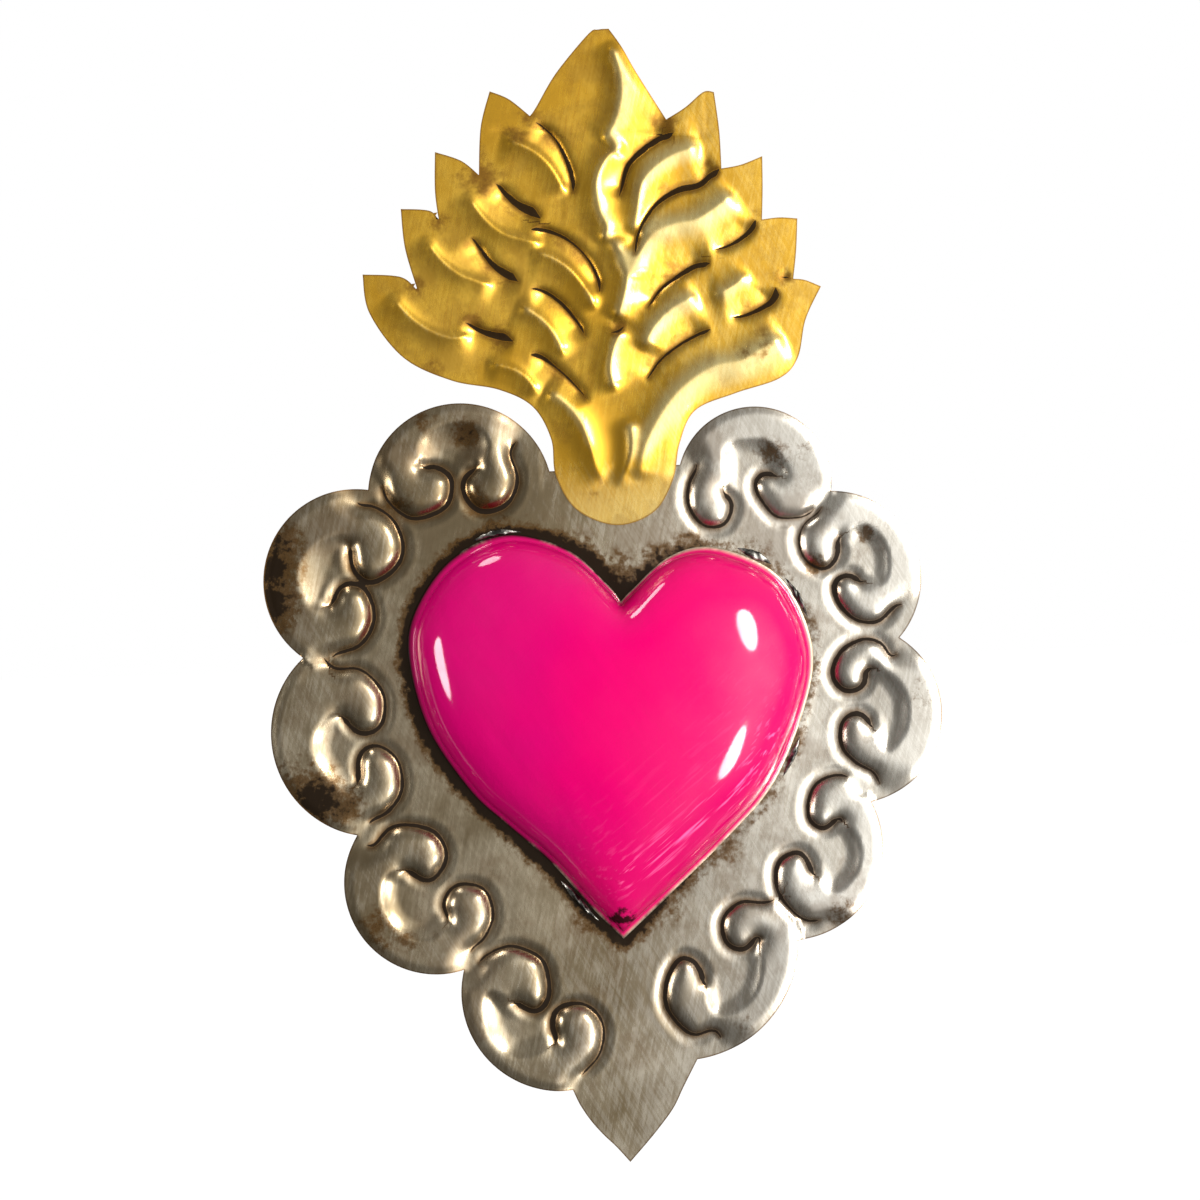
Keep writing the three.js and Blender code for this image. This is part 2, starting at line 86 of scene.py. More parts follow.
# Scrolls, one in each scallop: a hooked groove, the edge of the eye, and a second hooked groove
LEFT_SCROLLS = [
    ([(-43.6, 130.5), (-42.8, 127.1), (-38, 123.1), (-32.2, 124.6), (-30.4, 126.7), (-30.1, 131.1),
      (-33.9, 133.4), (-35.6, 132.4)],
     [(-36, 135.4), (-35.2, 138.5), (-30.2, 141), (-24.9, 140.1), (-22.9, 136.4)],
     [(-18.8, 135.8), (-17.4, 130.2), (-19.8, 125.2), (-25.2, 124.2), (-28.2, 128.1), (-27.9, 130.5),
      (-26.6, 132), (-25.4, 132.4)]),
    ([(-48.2, 126.2), (-45.9, 126.3), (-41.4, 123.4), (-39.5, 117.8), (-41.5, 113.5), (-46.4, 111.1),
      (-49.5, 114), (-49.8, 118.1)],
     [(-50.7, 120.4), (-55.3, 119.2), (-58.9, 115.2), (-59, 110.6), (-57.1, 106.6)],
     [(-53.7, 97.7), (-48.3, 99.4), (-45.4, 104.4), (-46.4, 109.3), (-48.2, 111.2), (-50.5, 111.5),
      (-52.4, 110.4), (-53.6, 107.2)]),
    ([(-53.7, 95.4), (-48.6, 95.2), (-44.2, 90.5), (-44.3, 85), (-46, 83), (-48.1, 82.6),
      (-49.9, 83.1), (-52.1, 85.9)],
     [(-53.9, 86.9), (-57.3, 83.1), (-57.2, 78.2), (-54.3, 74), (-50.9, 71.8)],
     [(-47.7, 66), (-44.9, 67), (-42.5, 69.3), (-41, 72.5), (-42, 78), (-46.3, 80.7),
      (-49.4, 78.5), (-49.5, 73.8)]),
    ([(-47.2, 61.2), (-45, 63.9), (-41.7, 65.4), (-35.2, 63.8), (-33, 58.8), (-35.8, 54.5),
      (-38.1, 54.6), (-40.9, 56.7)],
     [(-44.7, 55.8), (-45.4, 50.7), (-43.3, 46.1), (-39.4, 43.8), (-35.9, 44)],
     [(-29.4, 40.9), (-27.1, 42.3), (-25.4, 44.9), (-24.5, 48), (-26.2, 52.8), (-31.7, 53.6),
      (-34.3, 49.9), (-33, 47)]),
    ([(-28.5, 37.5), (-27.2, 39.5), (-21.8, 41.8), (-16.1, 39.6), (-14.7, 36.9), (-14.4, 31.7),
      (-17, 28.8), (-20.9, 30.7)],
     [(-25.9, 33.3), (-26.9, 30.4), (-25.8, 24.6), (-22.4, 21.2), (-18.5, 21.1)],
     [(-9.2, 16.1), (-5.1, 20.5), (-4.3, 26.5), (-7.7, 30.3), (-12.4, 30), (-14, 28),
      (-14.1, 25.5), (-13.1, 23)]),
]
RIGHT_SCROLLS = [
    ([(27.2, 48.8), (22.2, 49.2), (18.4, 45.6), (18.9, 40.8), (20.9, 39.4), (22.8, 39.1),
      (24.6, 40.4), (25.5, 42.2)],
     [(25.6, 39.9), (25.9, 36.7), (24.6, 31.7), (20.9, 28.3), (16.5, 28)],
     [(16.8, 24.3), (14, 23.2), (11.3, 23.8), (7.3, 28.9), (7.7, 34.9), (10.8, 39),
      (14.2, 37.3), (15.3, 33.8)]),
    ([(46.5, 70.6), (42, 72.8), (36.8, 70.9), (35.1, 65.6), (36.1, 62.8), (38.4, 61.6),
      (40.3, 62.5), (41.5, 64.1)],
     [(43, 62.6), (44.4, 61.2), (45.2, 56.6), (43.2, 52.3), (39.4, 50.1)],
     [(38.8, 44.6), (36, 44.2), (33.3, 45), (29.1, 50.2), (29.3, 56.2), (33.3, 58.4),
      (35.3, 57.1), (36.6, 53.9)]),
    ([(52.5, 94.5), (51.6, 96.8), (47.8, 98.5), (42.6, 96.2), (40.5, 91.1), (43.3, 87.6),
      (47.3, 88.7), (47.8, 92.3)],
     [(51.9, 91.1), (54.8, 86.6), (54.7, 81.5), (53.7, 79.3), (50.6, 76.4)],
     [(48.2, 72.3), (45.9, 73.3), (42.1, 77.1), (42, 82.1), (43.7, 83.9), (45.8, 84.4),
      (47.8, 83.1), (48.4, 81.7)]),
    ([(40, 124.1), (38.8, 122.2), (36.4, 120.7), (34.9, 116.9), (36.5, 112.6), (40.4, 110.9),
      (43.2, 113.7), (43.1, 117)],
     [(46, 119.3), (48.2, 119.4), (51.2, 116.4), (52.2, 111.9), (50.9, 108.3)],
     [(54.1, 104.1), (50.3, 100.7), (45.3, 101.3), (41.8, 105.4), (41.7, 109.3), (44.6, 110.7),
      (46.2, 110.1), (46.9, 109)]),
    ([(40.2, 123.9), (37.3, 121.2), (32, 120.9), (29.9, 122.2), (27.1, 126.5), (27.2, 128.7),
      (28.8, 130.4), (31.4, 130)],
     [(34, 128.5), (30.1, 135.6), (23.1, 136), (21.7, 134.3), (21.7, 132.3)],
     [(16.4, 132), (14.8, 129.5), (14.2, 124.2), (17.4, 119.8), (21.8, 120.1), (23.5, 124),
      (22.8, 125.7), (21.5, 126.7)]),
]
# Width of the slope from each scroll down into its eye
LEFT_EYE_SLOPES = [4.4, 5.0, 3.2, 2.8, 3.2]
RIGHT_EYE_SLOPES = [2.4, 2.4, 2.6, 2.4, 2.8]
# How the left and the right scrolls differ: the share of the band's height, how much of it is lost at the
# rim, and how far inside its groove the stain lies
BAND_SHARE = (1, 0.75)
RIM_FALL = (0.3, 0.4)
STAIN_SHIFT = (0.1, 0.45)
# How far past the rim a scroll's ends are drawn
PAST_RIM = 0.6
# The lowest that a front may sink, so that the back stays whole
DEEPEST = -0.34
# An offset from the nearest line where there is none
FAR = 9.0

# Gold flame: each run is one smooth edge between two corners, anticlockwise from the top
FLAME_RUNS = [
    [(2.2, 215), (0.2, 214.9), (-1.7, 214.1), (-8, 206.9), (-12, 200.5), (-13.2, 198.9)],
    [(-13.2, 198.9), (-17.1, 202.2), (-20.7, 203.8)],
    [(-20.7, 203.8), (-22.6, 197), (-23.2, 188)],
    [(-23.2, 188), (-26.5, 190.8), (-31.4, 192.6)],
    [(-31.4, 192.6), (-31.6, 185), (-30.9, 178.7)],
    [(-30.9, 178.7), (-32.5, 181.4), (-38.2, 182)],
    [(-38.2, 182), (-37.6, 174.5), (-35.4, 166.3)],
    [(-35.4, 166.3), (-38.5, 169.1), (-45.8, 169.8)],
    [(-45.8, 169.8), (-44.7, 162.4), (-38.5, 153.8), (-29.5, 149.2), (-20.6, 147.2), (-14.3, 143.8),
     (-11, 137.6), (-10.3, 130.6), (-6.5, 124), (1, 120.9), (8.1, 123.2), (11.9, 129.2),
     (13.4, 136.2), (16.5, 142.2), (24.1, 145.2), (32.6, 147.8), (36.2, 151.6), (37.9, 158.8), (41, 165)],
    [(41, 165), (38, 166.3), (35.8, 166.6)],
    [(35.8, 166.6), (36.5, 172), (36.9, 178)],
    [(36.9, 178), (33.5, 178.3), (30.2, 178)],
    [(30.2, 178), (30.5, 184), (30.6, 190)],
    [(30.6, 190), (26.5, 188.5), (22.8, 187.9)],
    [(22.8, 187.9), (22.6, 195), (21.8, 202.4)],
    [(21.8, 202.4), (19.8, 202.5), (16.3, 199.7), (12.6, 197.5)],
    [(12.6, 197.5), (7.3, 206.4), (4.5, 211.6), (2.2, 215)],
]

# Chased grooves of the flame, from the rim inwards and downwards: (points, depth, width of the bank on
# the left as seen, of the bank on the right, width of the dark stain at the outer end, and at the inner end)
FLAME_GROOVES = [
    ([(-12.5, 197.9), (-9.5, 195.3), (-7.5, 192.1), (-5.9, 187.4), (-5.5, 183.1)], 0.75, 2.4, 0.8, 0.5, 0.9),
    ([(-20.4, 186.7), (-18.4, 184), (-15.8, 181.5), (-11.3, 179.2)], 0.95, 2.4, 1.0, 0.6, 2.0),
    ([(-14, 177.4), (-10.1, 176.7), (-6.3, 174.7), (-3.2, 171.4), (-1.4, 167.6), (-0.9, 164.3)],
     0.75, 2.2, 0.8, 0.6, 0.7),
    ([(-25.3, 176.6), (-23.6, 173.9), (-21.3, 170.6), (-18.1, 168.2), (-15.5, 167.2)],
     0.9, 2.4, 1.0, 0.5, 1.9),
    ([(-14.4, 166.2), (-11.2, 165.2), (-8, 162.6), (-5.4, 159.3), (-3.6, 156)], 0.75, 2.4, 0.8, 0.7, 0.6),
    ([(-27, 160.4), (-24.8, 158.8), (-22, 157.4), (-17.1, 156.1)], 0.8, 1.8, 1.0, 0.4, 1.9),
    ([(-14.7, 153.7), (-12.1, 152.7), (-8.4, 149.7), (-5.3, 146.4), (-3.4, 143.9)], 0.75, 2.0, 0.8, 0.8, 0.4),
    ([(14.2, 195), (11, 194.2), (7.7, 192), (4.9, 189.2), (3.7, 185.3), (3, 182.1)], 0.9, 2.8, 0.8, 1.3, 0.5),
    ([(22.6, 187.9), (20.2, 186.7), (18.3, 185.2), (14.5, 184.4), (11.2, 182.6), (8.7, 180),
      (6.4, 175.7), (5.7, 170.6)], 0.75, 2.8, 0.8, 1.2, 0.4),
    ([(29.1, 178.1), (27.1, 175.6), (23.8, 173.5), (19.8, 172.3)], 0.8, 2.6, 0.9, 1.1, 0.3),
    ([(20.5, 170.1), (17.3, 169.9), (13.4, 167.7), (10.1, 165.1), (7.3, 160.8)], 0.9, 2.8, 0.9, 1.2, 0.4),
    ([(32.5, 165.2), (31.1, 162.6), (26.7, 160.3), (22.7, 159.6)], 0.85, 2.6, 1.0, 1.6, 0.4),
    ([(20.1, 157.6), (17.5, 156.9), (13.6, 154.8), (9.7, 151.7), (6.9, 147.4)], 0.75, 2.8, 0.8, 0.9, 0.4),
    ([(3.9, 159), (2.2, 157.8), (0.2, 157.3)], 0.6, 1.2, 0.7, 0.8, 0.8),
    ([(35.8, 167), (32.6, 167.1)], 0.5, 1.0, 0.6, 0.7, 0.6),
    ([(-21.8, 196.5), (0, 195.4), (22, 194)], 0.1, 0.6, 0.6, 0.05, 0.05),
]
# Ridges of the flame, drawn in the same way: (points, height, width of the left side, of the right side)
FLAME_RIDGES = [
    ([(-18.8, 195.1), (-13.6, 192.8), (-10.4, 190.2), (-8.2, 186.9), (-6.8, 183.2)], 0.75, 2.0, 0.8),
    ([(-25.6, 185), (-24.7, 182.9), (-22.3, 179.6), (-19.2, 177), (-15.2, 175.6), (-10.8, 174.3)],
     0.7, 1.9, 0.8),
    ([(-14.1, 173.3), (-10.2, 172.2), (-6.5, 169.6), (-3.4, 165.5), (-1.4, 161.2)], 0.85, 2.1, 0.9),
    ([(-34, 177), (-33.3, 175.5), (-30.9, 172.2), (-27.7, 169.5), (-24.6, 168.2), (-20.5, 166.6)],
     0.7, 1.9, 0.8),
    ([(-17, 163.6), (-15.6, 162.8), (-11.9, 160.1), (-9.5, 156.8), (-7.7, 152.4)], 0.9, 2.1, 1.3),
    ([(-41, 166), (-36.9, 161.4), (-33.2, 158.8), (-29.2, 157.4), (-24.9, 157.6)], 0.75, 2.0, 0.9),
    ([(-23.1, 152.4), (-18.6, 151.4), (-15.4, 149.4), (-12.6, 145.4)], 0.75, 2.0, 0.9),
    ([(-12.3, 147.2), (-8.5, 144.6), (-5.4, 140.7), (-3.7, 136.1), (-2.5, 131.5), (-0.6, 129)],
     1.05, 2.2, 2.2),
    ([(2.4, 212.9), (3.6, 208.4), (4.2, 203.3), (3.3, 198.8), (1.9, 195.6), (-0.1, 193.2)], 1.0, 1.8, 5.2),
    ([(5.1, 193.4), (1.2, 190.5), (-0.9, 186.2), (-0.6, 181), (0.8, 177), (-0.8, 173.8)], 1.1, 2.0, 2.2),
    ([(1.3, 175.8), (3.8, 171.2), (4.3, 167.4), (3.2, 162.9), (1.6, 159.1)], 1.05, 2.0, 2.2),
    ([(3.6, 159), (1.4, 154.6), (0.6, 150), (1.8, 145.6)], 1.05, 1.8, 1.9),
    ([(3.9, 141.6), (4.3, 136.4), (3.3, 132.1), (1.2, 127.6)], 0.95, 1.8, 1.5),
    ([(19.5, 192.1), (14.1, 190.8), (10, 188.3), (7.5, 185.2), (6.6, 180), (5.5, 175)], 1.1, 2.2, 3.0),
    ([(25.5, 183.4), (18.4, 178.6), (13.2, 177.4), (9.2, 175.5), (6.1, 171.4), (5, 167.5)], 1.1, 2.2, 3.4),
    ([(27.9, 168.2), (23.5, 165), (19.7, 163.9)], 0.8, 1.8, 2.4),
    ([(18.2, 164.2), (16.6, 163.5), (12.5, 161.5), (9, 158), (6.6, 153.5)], 1.1, 2.2, 3.2),
    ([(34.2, 155.8), (28.9, 153.2), (25.1, 151.2), (19.9, 150.2), (14.7, 147.1), (10.6, 142.7),
      (7.4, 137.1), (6, 132.6), (5.4, 128.6)], 1.15, 2.4, 4.2),
]

# Brown stains: (x, z, reach, strength)
FLAME_STAINS = [
    (-16.3, 195.7, 1.7, 0.9), (-23.9, 188.7, 2.7, 0.9), (-22.1, 186, 1.7, 1), (-31.2, 179.6, 1.5, 1),
    (-13.2, 198.7, 1.5, 0.9), (-36, 167.3, 1.3, 0.9), (12.9, 196.4, 1.9, 1.1), (20.8, 187.8, 1.5, 0.8),
    (17.2, 184.9, 1.9, 0.9), (28.9, 177.7, 1.5, 0.8), (34.3, 167.1, 1.5, 0.8), (30.1, 154.3, 2.1, 0.8),
    (25.7, 153.1, 1.5, 0.7), (-25.4, 159.5, 1.5, 1), (-20.1, 157.1, 1.7, 1), (-33.2, 151.2, 1.7, 0.6),
    (1.9, 158.3, 1.5, 0.9), (-2.3, 129.8, 1.5, 0.5), (-3.2, 126.4, 1.1, 0.5), (-11.9, 178.3, 1.9, 0.7),
    (-19.2, 188, 1.5, 0.4), (-25.3, 174.9, 1.1, 0.4), (33.2, 160.8, 1.5, 0.4),
]
PLATE_STAINS = [
    (-35.5, 142.6, 2.2, 0.6), (-27.3, 139, 1.7, 1.1), (-40, 126.5, 2.7, 0.6),
    (-24.7, 125.3, 2.1, 1.3), (-64.8, 114.3, 3.2, 2.3), (-65.2, 108, 3, 2.3), (-62.6, 119.4, 2.4, 1.5),
    (-48.2, 113.9, 1.5, 0.5), (-21.6, 119.7, 2.7, 1.3), (-15.9, 119, 2.3, 1.1), (-27, 117.4, 1.9, 0.8),
    (-57.6, 70.5, 3.4, 2.1), (-60.6, 73.4, 3.4, 1.3), (-53.5, 69.2, 2.8, 1.4), (-46.6, 45.8, 2.5, 1.1),
    (-41.3, 43.2, 1.5, 0.7), (30.4, 133.4, 2.1, 0.8), (35.6, 134.4, 1.9, 0.5), (48.1, 118.4, 1.3, 1),
    (38.4, 112.4, 1.3, 0.8), (13.8, 115.5, 2.7, 0.7), (27, 114.3, 3, 0.4), (58.2, 87.6, 1.9, 0.6),
    (19.9, 59.2, 2.3, 0.7), (7.8, 48.6, 2.5, 0.9), (41.7, 46.3, 2.3, 0.5), (22.5, 25.7, 1.9, 0.4),
    (0.8, 110, 3.2, 1.3), (-5.5, 115.6, 2.3, 0.9), (7.6, 113.4, 2.3, 0.8), (-6.3, 47.1, 2.3, 0.8),
    (-11.7, 56.2, 1.9, 0.6),
]

# Enamelled heart
HEART_NOTCH = (1.3, 105.6)
HEART_TIP = (0, 43.8)
HEART_RIGHT = [(3.5, 107.8), (10.3, 113.5), (18, 115.2), (27.7, 111.6), (33.2, 105.6), (36.3, 95),
               (33.9, 83.7), (28, 71), (19, 61.2), (9.4, 52.3)]
HEART_LEFT = [(-5.5, 49.5), (-13, 58.3), (-20.6, 65.2), (-27.4, 71.8), (-34.8, 83.5), (-37.9, 96.5),
              (-36.5, 105), (-29.8, 114.1), (-19.6, 118.5), (-8.4, 115.5), (-1, 108.7)]
# The dome's middle, as a share of the way from the notch to the tip, and the power of its profile
HEART_MIDDLE = 0.36
HEART_ROUNDNESS = 0.85
# Towards the crown the outline is drawn to a circle by this share, and is blurred by these angles in
# radians, from none at the rim to the last one at this share of the radius from it
HEART_SMOOTHING = 0.6
BLURS = (0.0, 0.05, 0.1, 0.16, 0.24, 0.34, 0.45)
HEART_BLUR_REACH = 0.7
# Even steps round the heart, at which its outline is blurred
EVEN_STEPS = 720
# The line along which the brush left ridges in the enamel, where a painted highlight also runs
BRUSH_LINE = [(1.9, 55.4), (8, 59.5), (13, 63.5), (19, 68.2), (25, 74.5), (29, 80.5)]

# Solder round the heart: (name, from and to in degrees clockwise from up, reach, height)
HEART_SOLDER = [
    ("upper_left", -38, -26, 1.4, 0.8),
    ("upper_right", 35, 45, 1.8, 0.7),
    ("right", 50, 62, 1.2, 1.2),
    ("lower_right", 96, 110, 1.4, 1.2),
    ("tip", 188, 203, 1.8, 1.2),
]
# Solder out of sight, which fills its node's box, and the number that its first lump's unevenness starts from
HIDDEN_SOLDER = ("strap_solder_left", "strap_solder_right", "flame_solder_left", "flame_solder_right")
HIDDEN_SEED = 7

# Lamps: (name, degrees right of the camera, degrees up, metres away, width, height, share of the power)
LAMPS = [
    ("bright_pane", 38, 20, 0.41, 0.08, 0.13, 1.0),
    ("lower_pane", 41, -20, 0.42, 0.07, 0.11, 0.75),
    ("left_strip", -63, 2, 0.50, 0.11, 0.22, 1.1),
    ("skylight", -69, 62, 0.50, 0.11, 0.11, 0.45),
]
# The soft window in the room: degrees right of the camera, degrees up, strength
SOFT_WINDOW = (36, -1, 3.5)
# The camera's place, in metres right of the middle and up, and the height that the lamps aim at
CAMERA_PLACE = (-0.00262, -0.0092)
LAMP_AIM = -0.028


def length_setting(name, description, default):
    """A size in metres that shows in the scene's units."""
    return bpy.props.FloatProperty(
        name=name, description=description, default=default, min=0, unit="LENGTH", precision=5
    )


def colour_setting(name, description, default):
    """A plain colour."""
    return bpy.props.FloatVectorProperty(
        name=name, description=description, default=default, min=0, max=1, size=3, subtype="COLOR"
    )


class SheetSettings(bpy.types.PropertyGroup):
    """Sizes of the two pressed sheets."""

    thickness: length_setting("Thickness", "Thickness of the tin", TIN_THICKNESS * MM)
    plate_cell: length_setting("Plate cell", "Width of the plate's squares", 0.00051)
    flame_cell: length_setting("Flame cell", "Width of the flame's squares", 0.00042)
    band_rise: length_setting("Band rise", "Height of the scrolls", 0.00135)
    groove_depth: length_setting("Groove depth", "Depth of the plate's chased lines", 0.00065)
    flame_rise: length_setting("Flame rise", "Height of the flame's body", 0.00045)


class HeartSettings(bpy.types.PropertyGroup):
    """Sizes of the hollow heart."""

    foot_width: length_setting("Foot width", "How far the foot turns out", 0.0012)
    wall: length_setting("Wall", "Thickness of the shell", 0.0004)
    rings: bpy.props.IntProperty(name="Rings", description="Rings of faces up the dome", default=44, min=4)
    sides: bpy.props.IntProperty(name="Sides", description="Faces round the dome", default=288, min=12)


class ColourSettings(bpy.types.PropertyGroup):
    """Colours of the finishes, as linear values."""

    tin: colour_setting("Tin", "Grey tin", (0.505, 0.425, 0.295))
    tin_shade: colour_setting("Tin shade", "Duller grey tin", (0.24, 0.18, 0.10))
    # Paler tin for rubbed crests, and for painted light and painted highlights towards the right
    tin_worn_and_lit: colour_setting("Worn tin", "Tin rubbed bright on the scrolls", (0.90, 0.87, 0.79))
    # Also the brown of the painted shadow beside the heart and of the painted shade along the cut edge
    tin_stain_and_shade: colour_setting("Tin stain", "Brown stain on the tin", (0.14, 0.066, 0.015))
    gold: colour_setting("Gold", "Gold lacquer", (1.0, 0.6, 0.06))
    gold_shade: colour_setting("Gold shade", "Darker gold lacquer", (0.76, 0.40, 0.015))
    # Paler lacquer for rubbed crests, and for painted highlights that spread towards the right
    gold_worn_and_lit: colour_setting("Worn gold", "Paler lacquer on the crests", (1.0, 0.83, 0.37))
    # Also the brown of the painted shade in the flame's grooves and along its cut edge
    gold_stain_and_shade: colour_setting("Gold stain", "Brown stain on the gold", (0.30, 0.125, 0.004))
    # Also the black in the middle of the painted shadow beside the heart and of the heart's foot on the left
    patina: colour_setting("Patina", "Black stain in the chased lines", (0.008, 0.005, 0.003))
    enamel: colour_setting("Enamel", "Magenta enamel", (0.545, 0.0, 0.098))
    # Painted shade: the enamel darker towards the left, away from the light
    enamel_painted_shade: colour_setting("Enamel shade", "Deeper magenta", (0.46, 0.0, 0.105))
    # Painted highlight on the ridges that the brush left
    enamel_ridge_highlight: colour_setting("Thin enamel", "Paler magenta on the brush's ridges", (0.95, 0.16, 0.42))
    solder: colour_setting("Solder", "Bright solder", (0.45, 0.43, 0.38))


class StageSettings(bpy.types.PropertyGroup):
    """Camera and light."""

    distance: length_setting("Distance", "From the camera to the plate", 0.6)
    view_width: length_setting("View width", "Width of the picture at the plate", 0.2278)
    roll: bpy.props.FloatProperty(
        name="Roll", description="Turn of the camera about its view",
        default=math.radians(1.69), unit="ROTATION",
    )
    lamp_power: bpy.props.FloatProperty(
        name="Lamp power", description="Power that the lamps share", default=1.15, min=0, unit="POWER"
    )


class PlaqueSettings(bpy.types.PropertyGroup):
    """Everything that a user would change."""

    sheets: bpy.props.PointerProperty(type=SheetSettings)
    heart: bpy.props.PointerProperty(type=HeartSettings)
    colours: bpy.props.PointerProperty(type=ColourSettings)
    stage: bpy.props.PointerProperty(type=StageSettings)


# Curves and outlines


def smooth_line(points):
    """Close points along a smooth curve through the given ones."""
    given = np.array(points, float)
    padded = np.vstack([given[:1], given, given[-1:]])
    made = []
    for before, start, end, after in zip(padded, padded[1:], padded[2:], padded[3:]):
        count = max(2, math.ceil(math.dist(start, end) / CURVE_STEP))
        t = np.linspace(0, 1, count, endpoint=False)[:, None]
        slope, next_slope = (end - before) / 2, (after - start) / 2
        made.append(
            start * (2 * t**3 - 3 * t**2 + 1)
            + end * (3 * t**2 - 2 * t**3)
            + slope * (t**3 - 2 * t**2 + t)
            + next_slope * (t**3 - t**2)
        )
    return np.vstack([*made, given[-1:]])


def arc_centre(start, end, bulge):
    """Centre and radius of the arc that bulges to the right of the way from start to end."""
    start, end = np.array(start, float), np.array(end, float)
    chord = math.dist(start, end)
    radius = (chord * chord / 4 + bulge * bulge) / (2 * bulge)
    outwards = np.array([end[1] - start[1], start[0] - end[0]]) / chord
    return (start + end) / 2 + outwards * (bulge - radius), radius


def ring(centre, radius, angle):
    """Points at these angles round a centre."""
    return np.column_stack([centre[0] + radius * np.cos(angle), centre[1] + radius * np.sin(angle)])


def arc_between(centre, radius, start, end):
    """Points round a centre, anticlockwise from the direction of start to that of end."""
    begin = math.atan2(start[1] - centre[1], start[0] - centre[0])
    finish = math.atan2(end[1] - centre[1], end[0] - centre[0])
    if finish < begin:
        finish += math.tau
    return ring(centre, radius, np.linspace(begin, finish, ARC_POINTS))


def scallops(notches, bulges):
    """(centre, radius, start, end) of each scallop."""
    return [
        (*arc_centre(start, end, bulge), start, end)
        for start, end, bulge in zip(notches, notches[1:], bulges)
    ]


LEFT_SCALLOPS = scallops(LEFT_NOTCHES, LEFT_BULGES)
RIGHT_SCALLOPS = scallops(RIGHT_NOTCHES, RIGHT_BULGES)


def plate_outline():
    """The plate's edge, anticlockwise."""
    runs = [arc_between(*scallop)[:-1] for scallop in LEFT_SCALLOPS]
    runs += [smooth_line(LEAF_EDGE)[:-1], smooth_line(LEAF_OTHER_EDGE)[:-1]]
    runs += [arc_between(*scallop)[:-1] for scallop in RIGHT_SCALLOPS]
    runs.append(np.linspace(PLATE_TOP_RIGHT, PLATE_TOP_LEFT, 30)[:-1])
    return np.vstack(runs)


def flame_outline():
    """The flame's edge, anticlockwise."""
    return np.vstack([smooth_line(run)[:-1] for run in FLAME_RUNS])


def inside(outline, places):
    """Which places lie inside a closed outline."""
    x, z = places[:, 0], places[:, 1]
    found = np.zeros(len(places), bool)
    for (ax, az), (bx, bz) in zip(outline, np.roll(outline, -1, axis=0)):
        if az == bz:
            continue
        crosses = ((az > z) != (bz > z)) & (x < ax + (bx - ax) * (z - az) / (bz - az))
        found ^= crosses
    return found


def nearest(line, places):
    """(distance, nearest point, place along the line in segments, side: 1 to its left) for each place."""
    tree = KDTree(len(line))
    for index, (x, z) in enumerate(line):
        tree.insert((x, z, 0), index)
    tree.balance()
    closest = np.array([tree.find((x, z, 0))[1] for x, z in places])
    segments = len(line) - 1
    closed = np.allclose(line[0], line[-1])
    made = None
    for before in (1, 0):
        segment = (closest - before) % segments if closed else np.clip(closest - before, 0, segments - 1)
        start = line[segment]
        step = line[segment + 1] - start
        offset = places - start
        share = np.clip((offset * step).sum(1) / np.maximum((step**2).sum(1), 1e-12), 0, 1)
        gap = offset - share[:, None] * step
        cross = step[:, 0] * gap[:, 1] - step[:, 1] * gap[:, 0]
        found = np.column_stack([np.hypot(*gap.T), places - gap, segment + share, np.sign(cross)])
        made = found if made is None else np.where(found[:, :1] < made[:, :1], found, made)
    return made


def near_line(line, places, reach):
    """Which places lie in the box of a line, widened by reach."""
    return ((places > line.min(0) - reach) & (places < line.max(0) + reach)).all(1)


def rise(x, low, high):
    """0 below low, 1 above high and smooth between."""
    t = np.clip((x - low) / (high - low), 0, 1)
    return t * t * (3 - 2 * t)


def scoop(x, low, high):
    """0 below low and 1 above high, getting steeper all the way between."""
    return np.clip((x - low) / (high - low), 0, 1) ** 1.6


# Relief


def outer_rim(scallop, first, last):
    """Points just outside a scallop's rim, the way round it that leads from first to last."""
    centre, radius, start, end = scallop
    outwards = math.atan2(start[0] - end[0], end[1] - start[1])
    turns = [
        (math.atan2(point[1] - centre[1], point[0] - centre[0]) - outwards + math.pi) % math.tau - math.pi
        for point in (first, last)
    ]
    return ring(centre, radius + PAST_RIM, outwards + np.linspace(*turns, ARC_POINTS))


def scroll_path(scallop, scroll):
    """The inner edge of one scroll from rim to rim, in three runs: a hook, the edge of the eye, a hook."""
    centre, radius, *_ = scallop
    hook, eye, other_hook = scroll
    ends = [
        centre + (np.array(point) - centre) * (radius + PAST_RIM) / math.dist(point, centre)
        for point in (hook[0], other_hook[0])
    ]
    first = smooth_line([ends[0], *hook])
    last = smooth_line([ends[1], *other_hook])[::-1]
    middle = smooth_line([hook[-1], *eye, other_hook[-1]])[1:-1]
    line = np.vstack([first, middle, last])
    # Each point becomes the mean of these many to both sides, so that the runs meet without a kink
    reach = 5
    padded = np.pad(line, ((reach, reach), (0, 0)), mode="reflect", reflect_type="odd")
    line = np.array([padded[index : index + 2 * reach + 1].mean(0) for index in range(len(line))])
    return np.split(line, [len(first), len(first) + len(middle)])


def hook_groove(hook, places):
    """For each place, the distance to a hook from the rim, and its groove's depth and stain there."""
    travelled = np.concatenate([[0], np.cumsum(np.hypot(*np.diff(hook, axis=0).T))])
    # It deepens on its way from the rim and ends shallower, and its stain widens almost to the end
    depth = rise(travelled, 2.0, 6.0) * (1 - 0.7 * rise(travelled, travelled[-1] - 1.5, travelled[-1]))
    stain = rise(depth, 0, 0.7) * (0.46 + 0.54 * travelled / travelled[-1])
    found = nearest(hook, places)
    along = np.arange(len(hook))
    return np.array([found[:, 0], np.interp(found[:, 3], along, depth), np.interp(found[:, 3], along, stain)])


